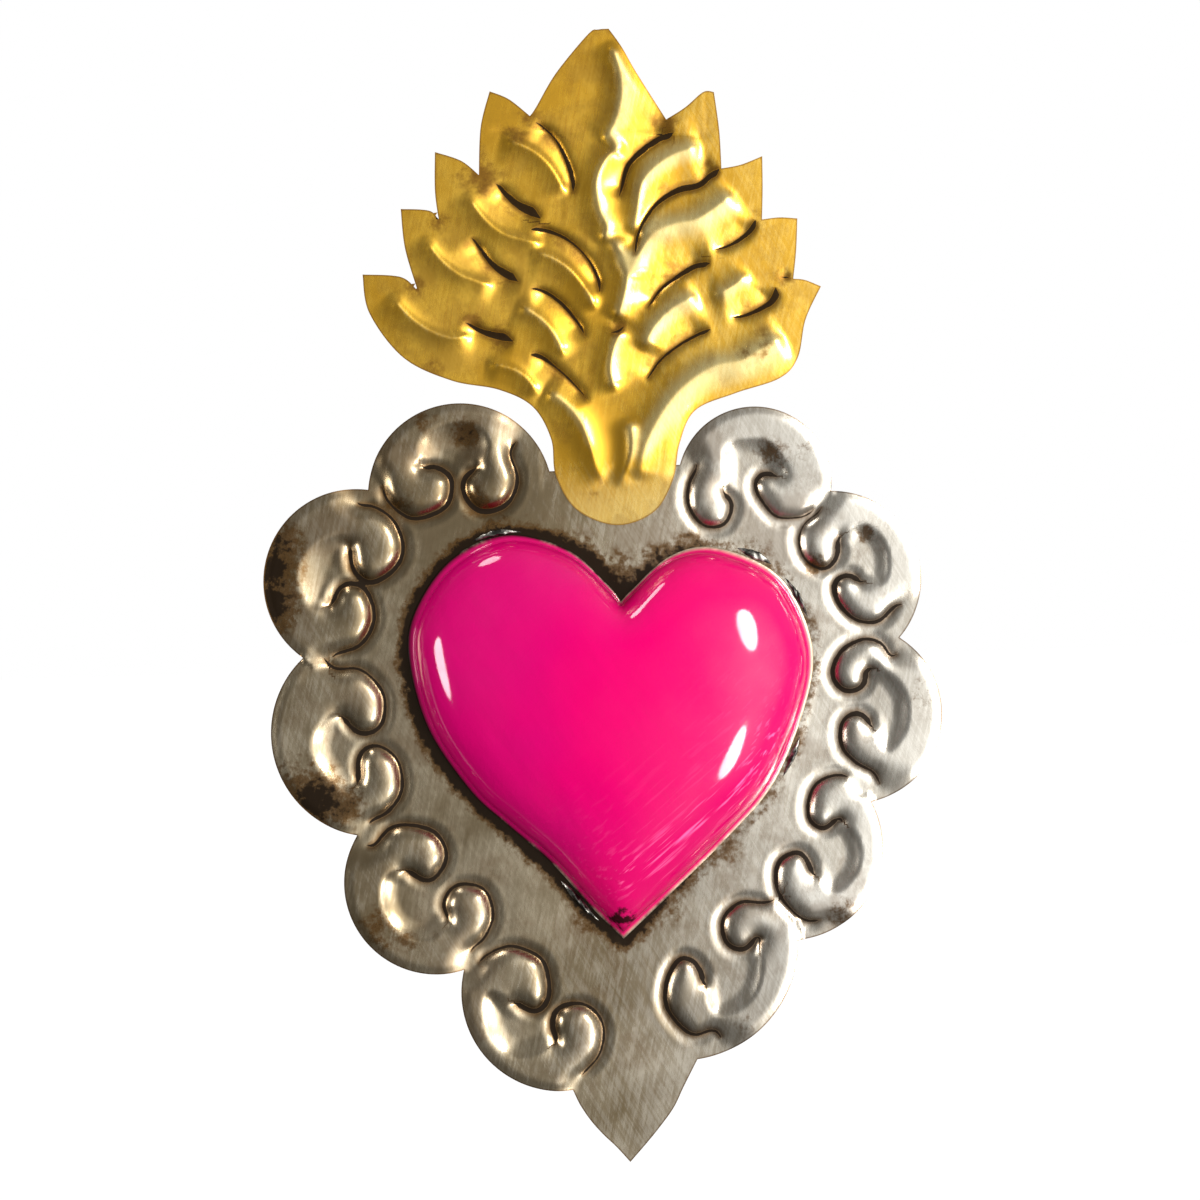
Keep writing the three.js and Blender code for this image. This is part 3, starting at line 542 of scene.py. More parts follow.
def scroll_relief(places, scallop, scroll, eye_slope, settings):
    """Height of one scroll, the offset from its hooked grooves and the width of their stain."""
    centre, radius, *_ = scallop
    side = int(centre[0] > 0)
    hook, eye, other_hook = scroll_path(scallop, scroll)
    line = np.vstack([hook, eye, other_hook])
    within = inside(np.vstack([line, outer_rim(scallop, line[-1], line[0])]), places)
    one, other = hook_groove(hook, places), hook_groove(other_hook[::-1], places)
    to_hook, grooved, stain = np.where(one[0] < other[0], one, other)
    to_eye = nearest(np.vstack([hook[-1:], eye, other_hook[:1]]), places)[:, 0]
    band = settings.band_rise / MM * BAND_SHARE[side]
    depth = settings.groove_depth / MM
    # The band slopes down into the eye and to its hooks, which are chased into it
    height = band * scoop(np.where(within, to_eye, -to_eye), -eye_slope, 0.4)
    height *= 1 - np.exp(-((to_hook / 1.5) ** 1.6))
    height -= depth * grooved * np.exp(-((to_hook / 1.15) ** 1.3))
    # Outside the band, chasing raised a slight burr beside each hook
    burr = 0.09 * grooved * np.exp(-(((to_hook - 1.7) / 0.8) ** 2))
    to_rim = radius - np.hypot(*(places - centre).T)
    fall = RIM_FALL[side]
    height = np.where(within, height * (1 - fall + fall * rise(to_rim, -0.2, 1.7)), height + burr)
    # It runs out at the notches, where both its ends are
    for end, first in ((line[0], scroll[0][0]), (line[-1], scroll[2][0])):
        height = height * rise(np.hypot(*(places - end).T), 0.5, 3 + math.dist(end, first))
    return height, np.where(within, to_hook, -to_hook), stain


def stain_width(width, distance):
    """The width of a stain, kept only near its line, so that it doesn't reach the next one."""
    return width * (1 - rise(distance, 1.4, 2.2))


def plate_relief(places, settings):
    """Height of the plate, and the offset from its nearest groove with the width of the stain there."""
    height = np.zeros(len(places))
    offset = np.full(len(places), FAR)
    width = np.zeros(len(places))
    for scallop, scroll, eye_slope in [
        *zip(LEFT_SCALLOPS, LEFT_SCROLLS, LEFT_EYE_SLOPES),
        *zip(RIGHT_SCALLOPS, RIGHT_SCROLLS, RIGHT_EYE_SLOPES),
    ]:
        centre, radius, *_ = scallop
        corners = [centre - radius, centre + radius]
        near = near_line(np.vstack([*scroll_path(scallop, scroll), corners]), places, 5)
        rises, apart, stain = scroll_relief(places[near], scallop, scroll, eye_slope, settings)
        height[near] += rises
        apart = apart - STAIN_SHIFT[int(centre[0] > 0)]
        stain = stain_width(stain, np.abs(apart))
        closer = np.abs(apart) - 0.5 * stain < np.abs(offset[near]) - 0.5 * width[near]
        index = np.flatnonzero(near)[closer]
        offset[index] = apart[closer]
        width[index] = stain[closer]
    return height, offset, width


def chased(places, line, left_width, right_width, sharpness, taper):
    """A bump that is 1 on a line and dies away to its sides and ends.

    With it come the offset from the line, the share of the way along it, and the way to its nearer end.
    The lines run downwards, so what lies to the left of one's way is on its right as seen.
    """
    smooth = smooth_line(line)
    near = near_line(smooth, places, 3 * max(left_width, right_width))
    bump, offset = np.zeros(len(places)), np.full(len(places), FAR)
    share, to_end = np.zeros(len(places)), np.zeros(len(places))
    travelled = np.concatenate([[0], np.cumsum(np.hypot(*np.diff(smooth, axis=0).T))])
    found = nearest(smooth, places[near])
    along = np.interp(found[:, 3], np.arange(len(smooth)), travelled)
    to_end[near] = np.minimum(along, travelled[-1] - along)
    width = np.where(found[:, 4] > 0, right_width, left_width)
    bump[near] = rise(to_end[near], 0, taper) * np.exp(-((found[:, 0] / width) ** sharpness))
    offset[near] = found[:, 0] * np.where(found[:, 4] < 0, -1, 1)
    share[near] = along / travelled[-1]
    return bump, offset, share, to_end


def flame_relief(places, outline, settings):
    """Relief of the flame.

    It gives the height, the offset from the nearest stained line and that stain's width, the distance to
    the rim, and how deep the grooves are.
    """
    body = settings.flame_rise / MM
    rim = nearest(np.vstack([outline, outline[:1]]), places)[:, 0]
    foot = outline[:, 1].min()
    height = body * rise(places[:, 1], foot + 9, foot + 20)
    calm = rise(rim, -0.6, 2.2) * rise(places[:, 1], foot + 2, foot + 17)
    offset = np.full(len(places), FAR)
    width, hollow = np.zeros(len(places)), np.zeros(len(places))
    for line, high, left_width, right_width in FLAME_RIDGES:
        bump, *_ = chased(places, line, left_width, right_width, 1.2, 2.8)
        height += high * bump * calm
    for line, deep, left_width, right_width, first_stain, last_stain in FLAME_GROOVES:
        bump, apart, share, to_end = chased(places, line, left_width, right_width, 1.4, 3.6)
        height -= deep * bump
        hollow = np.maximum(hollow, deep * bump)
        stain = (first_stain + (last_stain - first_stain) * share) * rise(to_end, 0, 1.4 + 1.8 * share)
        apart = apart - 0.35 * stain
        stain = stain_width(stain, np.abs(apart))
        closer = np.abs(apart) - 0.5 * stain < np.abs(offset) - 0.5 * width
        offset = np.where(closer, apart, offset)
        width = np.where(closer, stain, width)
    # Where ridges add up above the first height, they are eased off towards the second
    crest, tallest = 1.1, 1.58
    over = (height - crest) / (tallest - crest)
    height = np.where(over > 0, crest + (tallest - crest) * np.tanh(over), height)
    return np.maximum(height, DEEPEST), offset, width, rim, hollow


def stained(places, stains):
    """How strongly each place is stained."""
    amount = np.zeros(len(places))
    for x, z, reach, strength in stains:
        amount = np.maximum(amount, strength * np.exp(-(((places - (x, z)) / (1.5 * reach)) ** 2).sum(1)))
    return amount


def undulation(places, size, amount):
    """The slight waviness of a hand-worked sheet."""
    x, z = places[:, 0] / size, places[:, 1] / size
    waves = [(1.7, 0.9, 0.4), (-1.1, 2.1, 1.9), (2.9, -1.3, 4.1)]
    return amount * sum(np.sin(across * x + up * z + start) for across, up, start in waves) / len(waves)


# Heart outline in polar form, angles clockwise from up


class HeartShape:
    """The heart's outline about its middle."""

    def __init__(self):
        self.centre = np.array(HEART_NOTCH) + (np.array(HEART_TIP) - np.array(HEART_NOTCH)) * HEART_MIDDLE
        self.outline = np.vstack(
            [
                smooth_line([HEART_NOTCH, *HEART_RIGHT, HEART_TIP])[:-1],
                smooth_line([HEART_TIP, *HEART_LEFT, HEART_NOTCH]),
            ]
        )
        offset = self.outline - self.centre
        self.notch_angle = math.atan2(offset[0, 0], offset[0, 1])
        self.angles = (np.arctan2(offset[:, 0], offset[:, 1]) - self.notch_angle) % math.tau
        self.angles[0], self.angles[-1] = 0, math.tau
        self.radii = np.hypot(*offset.T)
        self.mean_radius = self.radii.mean()

        even = np.linspace(0, math.tau, EVEN_STEPS, endpoint=False)
        wave = np.fft.rfftfreq(EVEN_STEPS, 1 / EVEN_STEPS)
        spectrum = np.fft.rfft(np.interp(even, self.angles, self.radii))
        self.blurred = [np.fft.irfft(spectrum * np.exp(-((wave * blur) ** 2) / 2)) for blur in BLURS]

    def place(self, angle, share, outwards=0):
        """Points at this share of the heart's radius, plus an outward distance in millimetres."""
        turn = (angle - self.notch_angle) % math.tau
        own = np.interp(turn, self.angles, self.radii)
        steps = turn / math.tau * EVEN_STEPS
        marks = np.arange(EVEN_STEPS + 1)
        # Blends the outline's blurred forms by the share, and draws the result towards a circle
        rings = np.array([np.interp(steps, marks, np.append(radii, radii[0])) for radii in self.blurred])
        depth = np.clip((1 - share) / HEART_BLUR_REACH, 0, 1) * (len(BLURS) - 1)
        lower = np.minimum(depth.astype(int), len(BLURS) - 2)
        column = np.arange(np.size(turn))
        blurred = rings[lower, column] + (rings[lower + 1, column] - rings[lower, column]) * (depth - lower)
        blurred = np.where(share >= 1, own, blurred + (own - blurred) * rise(share, 0.97, 1.0))
        rounded = HEART_SMOOTHING * np.maximum(0, 1 - share)
        radius = share * (blurred + (self.mean_radius - blurred) * rounded) + outwards
        return self.centre[0] + radius * np.sin(angle), self.centre[1] + radius * np.cos(angle)


HEART = HeartShape()


def across_foot(share, foot):
    """How far out a point of the foot is, as a share of the heart's radius: from 1 at the dome to foot."""
    return 1 + share * (foot - 1)


def dome_curve(share, height, rings):
    """A quarter of the dome's section, from its foot to its top, as (share of the radius, height)."""
    turn = np.linspace(0, math.pi / 2, rings + 1)
    across = share * np.maximum(0, np.cos(turn)) ** HEART_ROUNDNESS
    return list(zip(across, height * np.sin(turn) ** HEART_ROUNDNESS))


def heart_section(wall, foot, rings):
    """The shell's section: down its outside, round its turned-out foot and up its inside."""
    outer = dome_curve(1, HEART_DEPTH, rings)[::-1]
    # The dome ends a little above its foot and curves out to it
    outer[-1] = (1, wall + 0.5)
    turned = [
        (across_foot(0.08, foot), wall + 0.25), (across_foot(0.25, foot), wall + 0.07),
        (across_foot(0.5, foot), wall), (across_foot(0.9, foot), wall), (foot, 0.6 * wall), (foot, 0),
    ]
    inner = dome_curve(1 - wall / HEART.mean_radius, HEART_DEPTH - wall, rings // 3)
    return [*outer, *turned, *inner]


# Meshes


def finish_piece(bm, name, replaced, material):
    """Makes the mesh an object at the origin, which stands for CAD nodes and rides on the frame."""
    mesh = bpy.data.meshes.new(name)
    for face in bm.faces:
        face.smooth = True
    bm.to_mesh(mesh)
    bm.free()
    mesh.materials.append(material)
    piece = bpy.data.objects.new(name, mesh)
    bpy.context.scene.collection.objects.link(piece)
    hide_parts(replaced)
    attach(piece, "root")
    return piece


def to_frame(x, y, z):
    """A point of the model, in metres, from plaque millimetres."""
    return Vector((x * MM, y * MM, (z + LEAF_TIP_HEIGHT) * MM))


def cut_grid(outline, corners, cell):
    """A flat grid cut to an outline, with its rim drawn onto the outline and the corners kept."""
    low, high = outline.min(0) - cell, outline.max(0) + cell
    counts = np.ceil((high - low) / cell).astype(int)
    bm = bmesh.new()
    bmesh.ops.create_grid(bm, x_segments=int(counts[0]), y_segments=int(counts[1]), size=0.5)
    middle, size = (low + high) / 2, high - low
    places = np.array([vert.co[:2] for vert in bm.verts]) * size + middle
    found = nearest(np.vstack([outline, outline[:1]]), places)
    # Points well inside stay, the others are drawn onto the outline, and squares without an inner one go
    inner = inside(outline, places) & (found[:, 0] > 0.3 * cell)
    outer = [face for face in bm.faces if not any(inner[vert.index] for vert in face.verts)]
    places = np.where(inner[:, None], places, found[:, 1:3])
    for vert, (x, z) in zip(bm.verts, places):
        vert.co = (x, 0, z)
    bmesh.ops.delete(bm, geom=outer, context="FACES")
    bm.verts.ensure_lookup_table()
    places = np.array([(vert.co.x, vert.co.z) for vert in bm.verts])
    rim = np.array([vert.is_boundary for vert in bm.verts])
    rim_index = np.flatnonzero(rim)
    for corner in corners:
        closest = rim_index[np.hypot(*(places[rim_index] - corner).T).argmin()]
        bm.verts[int(closest)].co = (corner[0], 0, corner[1])
    bmesh.ops.remove_doubles(bm, verts=bm.verts[:], dist=0.02)
    return bm


def thicken(bm, front_face, height_layer, front_layer):
    """Gives a sheet, whose vertices are its back, a front that follows the relief down into its grooves."""
    made = bmesh.ops.extrude_face_region(bm, geom=bm.faces[:], use_keep_orig=True)["geom"]
    for vert in [item for item in made if isinstance(item, bmesh.types.BMVert)]:
        vert.co.y = (front_face - vert[height_layer]) * MM
        vert[front_layer] = 1
    bmesh.ops.recalc_face_normals(bm, faces=bm.faces[:])
    for edge in bm.edges:
        if len(edge.link_faces) == 2 and edge.calc_face_angle(0) > math.radians(60):
            edge.smooth = False


def pressed_sheet(outline, corners, cell, relief, back, thickness):
    """A sheet that follows a relief and is cut to an outline."""
    bm = cut_grid(outline, corners, cell)
    places = np.array([(vert.co.x, vert.co.z) for vert in bm.verts])
    layers = relief(places)
    made = {name: bm.verts.layers.float.new(name) for name in [*layers, "front"]}
    for index, vert in enumerate(bm.verts):
        vert.co = to_frame(places[index, 0], back - max(0, layers["height"][index]), places[index, 1])
        for name, values in layers.items():
            vert[made[name]] = values[index]
    thicken(bm, back - thickness, made["height"], made["front"])
    return bm


def solder_lump(seed, place):
    """A closed, uneven lump, placed by its way along (-1 to 1), across (-1 to 1) and up (0 to 1)."""
    bm = bmesh.new()
    bmesh.ops.create_uvsphere(bm, u_segments=28, v_segments=28, radius=1)
    for vert in bm.verts:
        x, y, z = vert.co
        along = math.asin(max(-1, min(1, z))) / (math.pi / 2)
        uneven = 0.86 + 0.14 * math.sin(5 * along + seed) * math.cos(3 * x + 9 * along + 2 * seed)
        vert.co = place(along, x * uneven, (y + math.hypot(x, y)) / 2 * uneven)
    bmesh.ops.recalc_face_normals(bm, faces=bm.faces[:])
    return bm


# Finishes


class Tap:
    """One output of a shader node, which takes part in Python sums by adding Math nodes."""

    def __init__(self, socket):
        self.socket = socket

    def node(self, kind, settings=None, inputs=None, output=0):
        """A new node in the same tree: its settings are made first, then its inputs are set or linked."""
        tree = self.socket.id_data
        made = tree.nodes.new(kind)
        for name, value in (settings or {}).items():
            setattr(made, name, value)
        for name, value in (inputs or {}).items():
            if isinstance(value, Tap):
                tree.links.new(value.socket, made.inputs[name])
            else:
                made.inputs[name].default_value = value
        return Tap(made.outputs[output])

    def math(self, operation, *values):
        """A new Math node on these values."""
        return self.node("ShaderNodeMath", {"operation": operation}, dict(enumerate(values)))

    def __add__(self, other):
        return self.math("ADD", self, other)

    __radd__ = __add__

    def __mul__(self, other):
        return self.math("MULTIPLY", self, other)

    __rmul__ = __mul__

    def __sub__(self, other):
        return self.math("SUBTRACT", self, other)

    def __rsub__(self, other):
        return self.math("SUBTRACT", other, self)

    def between(self, low, high, start=0.0, end=1.0):
        """This value eased from start to end as it goes from low to high."""
        return self.node(
            "ShaderNodeMapRange",
            {"interpolation_type": "SMOOTHSTEP"},
            {"Value": self, "From Min": low, "From Max": high, "To Min": start, "To Max": end},
        )

    def mix(self, first, second):
        """The first colour where this value is 0, the second where it is 1."""
        settings = {"data_type": "RGBA", "clamp_factor": True}
        return self.node("ShaderNodeMix", settings, {0: self, 6: first, 7: second}, output=2)

    def noise(self, scale, detail, roughness, stretch=None, turn=0.0):
        """Noise on this vector, which may be turned about Y and stretched first."""
        place = self
        if stretch:
            place = self.node(
                "ShaderNodeMapping", {"vector_type": "TEXTURE"},
                {"Vector": self, "Rotation": (0, turn, 0), "Scale": stretch},
            )
        return self.node(
            "ShaderNodeTexNoise", None,
            {"Vector": place, "Scale": scale, "Detail": detail, "Roughness": roughness},
        )


def new_material(name):
    """A material with one Principled shader, that shader and its object coordinates."""
    material = bpy.data.materials.new(name)
    material.use_nodes = True
    tree = material.node_tree
    shader = tree.nodes["Principled BSDF"]
    coordinates = tree.nodes.new("ShaderNodeTexCoord")
    return material, shader, Tap(coordinates.outputs["Object"])


def direction(turn, lift):
    """The unit vector so many degrees right of the way to the camera and so many up."""
    turn, lift = math.radians(turn), math.radians(lift)
    return Vector((math.sin(turn) * math.cos(lift), -math.cos(turn) * math.cos(lift), math.sin(lift)))


def feed(shader, **inputs):
    """Sets or links the shader's inputs, named with underscores for spaces."""
    for name, value in inputs.items():
        socket = shader.inputs[name.replace("_", " ")]
        if isinstance(value, Tap):
            shader.id_data.links.new(value.socket, socket)
        else:
            socket.default_value = value


def rgba(colour):
    """A colour with full alpha."""
    return (*colour, 1.0)


def attribute(tap, name):
    """One of the mesh's own values, in a new node beside the given tap."""
    return tap.node("ShaderNodeAttribute", {"attribute_name": name}, output=2)


def chased_metal(name, light, shade, pale_worn_and_lit, brown, patina, tint_scale, speckle, lacquer):
    """Brushed sheet metal, with a dark patina in its chased lines, brown stains, painted shade and painted
    highlights, and some clear lacquer.

    tint_scale is how fine its cloudy tint is, speckle how speckled the edges of its stains are.
    """
    material, shader, place = new_material(name)
    offset, width, stain, worn, front, rim = (
        attribute(place, layer) for layer in ("offset", "width", "stain", "worn", "front", "rim")
    )
    grain = place.noise(1.0, 4.0, 0.65, stretch=(0.0006, 0.004, 0.006), turn=math.radians(12))
    scratch = place.noise(1.0, 2.0, 0.5, stretch=(0.0004, 0.004, 0.012), turn=math.radians(-30))
    cloud = place.noise(tint_scale, 5.0, 0.65)
    drift = place.noise(15.0, 2.0, 0.5)
    specks = place.noise(650.0, 4.0, 0.7)
    blotch = place.noise(170.0, 5.0, 0.7)
    # Cloudy bare metal, streaked by brushing, paler where it is rubbed and where painted light and painted
    # highlights fall, and thinly soiled
    tone = (cloud * 0.5 + drift * 0.4 + grain * 0.1).between(0.42, 0.58)
    colour = tone.mix(rgba(shade), rgba(light))
    streaks = (grain * 0.6 + scratch * 0.4).between(0.42, 0.6, 0.3, 0.0)
    colour = streaks.mix(colour, rgba(shade))
    colour = (worn * front + (cloud - 0.5) * worn - streaks * 0.5).mix(colour, rgba(pale_worn_and_lit))
    dirt = (blotch * 0.45 + cloud * 0.55).between(0.46, 0.6)
    colour = (dirt * 0.4 * front).mix(colour, rgba(brown))
    # A brown fringe beside the chased lines
    ragged = (specks - 0.5) * 0.35 + (blotch - 0.5) * 0.9
    edge = offset.math("ABSOLUTE", offset) - width * 0.5
    near = width.between(0.02, 0.2) * front
    fringe = (edge + (cloud - 0.5) * 2.0 + ragged).between(-0.1, 1.1, 1.0, 0.0) * near
    colour = (fringe * 0.75).mix(colour, rgba(brown))
    # Stains, brown at their ragged edges and burnt black in their middles; the same mask also carries the
    # painted shadow beside the heart and the painted shade in the flame's grooves
    uneven = ragged * 2.4 + (cloud - 0.5) * 1.4 + (specks - 0.5) * speckle
    stain_and_shade = (stain + uneven * stain.between(0.02, 0.4)) * front
    colour = (stain_and_shade.between(0.1, 1.0) * 0.85).mix(colour, rgba(brown))
    black_stain_and_shadow = stain_and_shade.between(0.75, 1.65)
    colour = (black_stain_and_shadow * 0.95).mix(colour, rgba(patina))
    # The black of the chased lines, and a brown band along the cut edge, painted as the edge's shade
    line = (edge + ragged * 0.55 + (cloud - 0.5) * 0.9).between(-0.1, 0.1, 1.0, 0.0) * near
    colour = (line * 0.97).mix(colour, rgba(patina))
    cut_edge_shade = (rim + (specks - 0.5) * 0.2).between(0.1, 0.35, 1.0, 0.0)
    colour = (cut_edge_shade * 0.75).mix(colour, rgba(brown))
    # Patina is dull and hardly metallic
    dull = line.math("MAXIMUM", line, black_stain_and_shadow * 0.45)
    rough = 0.19 + grain * 0.06 + cloud * 0.1 + dull * 0.35
    bump = grain * 0.16 + scratch * 0.16 + specks * 0.14 + blotch * 0.3
    normal = place.node("ShaderNodeBump", None, {"Strength": 0.25, "Distance": 0.00004, "Height": bump})
    feed(shader, Base_Color=colour, Roughness=rough, Metallic=1.0 - dull * 0.85, Normal=normal)
    feed(shader, Specular_IOR_Level=0.06, Coat_Weight=lacquer * (1 - dull), Coat_Roughness=0.18, Coat_IOR=1.6)
    return material


def plain_tin(colours):
    """Plain tin for the strap."""
    material, shader, place = new_material("strap_tin")
    streaks = place.noise(1.0, 4.0, 0.6, stretch=(0.012, 0.004, 0.0009))
    cloud = place.noise(90.0, 4.0, 0.6)
    tone = (cloud * 0.85 + streaks * 0.15).between(0.35, 0.65)
    colour = tone.mix(rgba(colours.tin_shade), rgba(colours.tin))
    normal = place.node("ShaderNodeBump", None, {"Strength": 0.3, "Distance": 0.00005, "Height": streaks})
    feed(shader, Base_Color=colour, Roughness=0.32 + streaks * 0.16, Metallic=1.0, Normal=normal)
    return material


def enamel(colours):
    """Glossy brushed-on enamel on the dome, with painted shade and highlights, and bare tin on its foot, dark
    towards the left as stain and painted shadow.
    """
    material, shader, place = new_material("enamel")
    foot, worn, brushed, polished = (
        attribute(place, layer) for layer in ("foot", "worn", "brushed", "polished")
    )
    cloud = place.noise(30.0, 3.0, 0.5)
    brush = place.noise(1.0, 3.0, 0.5, stretch=(0.006, 0.006, 0.03), turn=math.radians(-35))
    bristles = place.noise(1.0, 2.0, 0.5, stretch=(0.0007, 0.0007, 0.012), turn=math.radians(50))
    gloss = place.noise(45.0, 4.0, 0.6).between(0.38, 0.62, 0.6, 1.0)
    peel = place.noise(160.0, 2.0, 0.4)
    specks = place.noise(500.0, 3.0, 0.6)
    patches = place.noise(170.0, 4.0, 0.7)
    across = place.node("ShaderNodeSeparateXYZ", None, {0: place})
    # Painted shade: darker towards the left, away from the light, over a cloudy tone; and a paler painted
    # highlight on the ridges that the brush left
    painted_shade_left = (cloud - across * 12.0).between(0.35, 0.85)
    colour = painted_shade_left.mix(rgba(colours.enamel), rgba(colours.enamel_painted_shade))
    # Painted highlight: paler streaks on the brush's ridges
    colour = (bristles.between(0.54, 0.7) * brushed * 0.55).mix(colour, rgba(colours.enamel_ridge_highlight))
    # Chipped to dark metal where it is worn
    ragged = (patches - 0.5) * 1.4 + (specks - 0.5) * 2.4
    chip = (worn + ragged * worn.between(0.05, 0.4)).between(0.45, 0.95)
    colour = (chip * 0.95).mix(colour, rgba(colours.patina))
    # The foot is bare tin towards the right and dark towards the left, as stain and as painted shadow away
    # from the light
    bare = (across * 14.0 + patches * 1.6 - 0.4).between(0.15, 0.75)
    foot_stain_and_shadow = bare.mix(rgba(colours.patina), rgba(colours.tin))
    colour = foot.mix(colour, foot_stain_and_shadow)
    height = peel * 2.6 + brush * 4.5 + bristles * (brushed * 1.8 + 0.6) + specks * 0.35
    normal = place.node("ShaderNodeBump", None, {"Strength": 0.4, "Distance": 0.0002, "Height": height})
    feed(
        shader, Base_Color=colour, Roughness=0.35 + peel * 0.06, Metallic=foot * bare * 0.9, Normal=normal,
        Coat_Weight=gloss * (polished * 0.65 + 0.35) * (1 - foot * 0.9) * (1 - chip),
        Coat_Roughness=0.07, Coat_IOR=1.48, Specular_IOR_Level=0.0,
    )
    return material


def solder_metal(colours):
    """Bright, slightly crusted solder."""
    material, shader, place = new_material("solder")
    cloud = place.noise(500.0, 3.0, 0.6)
    fine = place.noise(1600.0, 2.0, 0.6)
    dark = tuple(0.1 * c for c in colours.solder)
    colour = cloud.between(0.42, 0.68).mix(rgba(dark), rgba(colours.solder))
    height = cloud + fine * 0.3
    normal = place.node("ShaderNodeBump", None, {"Strength": 0.5, "Distance": 0.0001, "Height": height})
    feed(shader, Base_Color=colour, Roughness=0.22 + cloud * 0.2, Metallic=1.0, Normal=normal)
    return material


# Operators


class PLAQUE_OT_plate(bpy.types.Operator):
    """Builds the scalloped plate with its scrolls"""

    bl_idname = "plaque.plate"
    bl_label = "Scalloped plate"

    def execute(self, context):
        settings = context.scene.plaque
        sheets, colours = settings.sheets, settings.colours
        outline = plate_outline()
        corners = [*LEFT_NOTCHES, (0, 0), *RIGHT_NOTCHES]
        closed = np.vstack([outline, outline[:1]])

        def relief(places):
            height, offset, width = plate_relief(places, sheets)
            rim = nearest(closed, places)[:, 0]
            foot = nearest(HEART.outline, places)[:, 0]
            foot = np.where(inside(HEART.outline, places), 0, foot)
            # The sheet lies flat under both feet, the heart's and the flame's
            height = (height + undulation(places, size=14, amount=0.12)) * rise(foot, 1.2, 3)
            height = np.maximum(height, DEEPEST)
            height *= 1 - rise(places[:, 1], 126, 132) * (np.abs(places[:, 0]) < 13)
            # Burnt flux round the heart, with a painted shadow that puts most of it on the left, away from
            # the light
            beyond_foot = np.maximum(foot - 1.1, 0)
            flux_and_shadow = np.exp(-((beyond_foot / 2.1) ** 2)) * (2.7 - 2.0 * rise(places[:, 0], -8, 22))
            stain = np.maximum(flux_and_shadow, stained(places, PLATE_STAINS))
            # Painted light: paler towards the right, where the light falls; and paler on the scrolls' crests,
            # partly rubbed and partly a painted highlight
            lit_from_right = rise(places[:, 0], -25, 45)
            worn = (0.08 + 0.42 * lit_from_right) * rise(height, 0.7, 1.5) + 0.62 * lit_from_right
            return {
                "offset": offset, "width": width, "rim": rim, "stain": stain, "worn": worn, "height": height,
            }

        thickness = sheets.thickness / MM
        bm = pressed_sheet(outline, corners, sheets.plate_cell / MM, relief, PLATE_BACK, thickness)
        material = chased_metal(
            "grey_tin", colours.tin, colours.tin_shade, colours.tin_worn_and_lit, colours.tin_stain_and_shade,
            colours.patina, tint_scale=45.0, speckle=2.4, lacquer=0.1,
        )
        finish_piece(bm, "scalloped_plate", "back_plate", material)
        return {"FINISHED"}


class PLAQUE_OT_flame(bpy.types.Operator):
    """Builds the gold flame"""

    bl_idname = "plaque.flame"
    bl_label = "Gold flame"

    def execute(self, context):
        settings = context.scene.plaque
        sheets, colours = settings.sheets, settings.colours
        outline = flame_outline()
        corners = [run[0] for run in FLAME_RUNS]

        def relief(places):
            height, offset, width, rim, hollow = flame_relief(places, outline, sheets)
            # Stained at its notches, with painted shade in its deeper grooves; pale on its crests and its
            # foot, the crests partly rubbed and partly a painted highlight
            stain = np.maximum(0.8 * stained(places, FLAME_STAINS), 0.65 * hollow)
            foot = 1 - rise(places[:, 1], 124, 136)
            # Painted light: the crests' pale reaches lower, and the whole sheet is paler, towards the right,
            # where the light falls
            right = rise(places[:, 0], -5, 20)
            worn = 0.75 * rise(height, 0.9 - 0.35 * right, 1.6 - 0.2 * right) + 0.4 * foot + 0.15 * right
            return {
                "offset": offset, "width": width, "rim": rim, "stain": stain, "worn": worn, "height": height,
            }

        thickness = sheets.thickness / MM
        back = PLATE_BACK - thickness
        bm = pressed_sheet(outline, corners, sheets.flame_cell / MM, relief, back, thickness)
        material = chased_metal(
            "gold_tin", colours.gold, colours.gold_shade, colours.gold_worn_and_lit, colours.gold_stain_and_shade,
            colours.patina, tint_scale=60.0, speckle=0.6, lacquer=0.5,
        )
        finish_piece(bm, "gold_flame", "flame_crest", material)
        return {"FINISHED"}


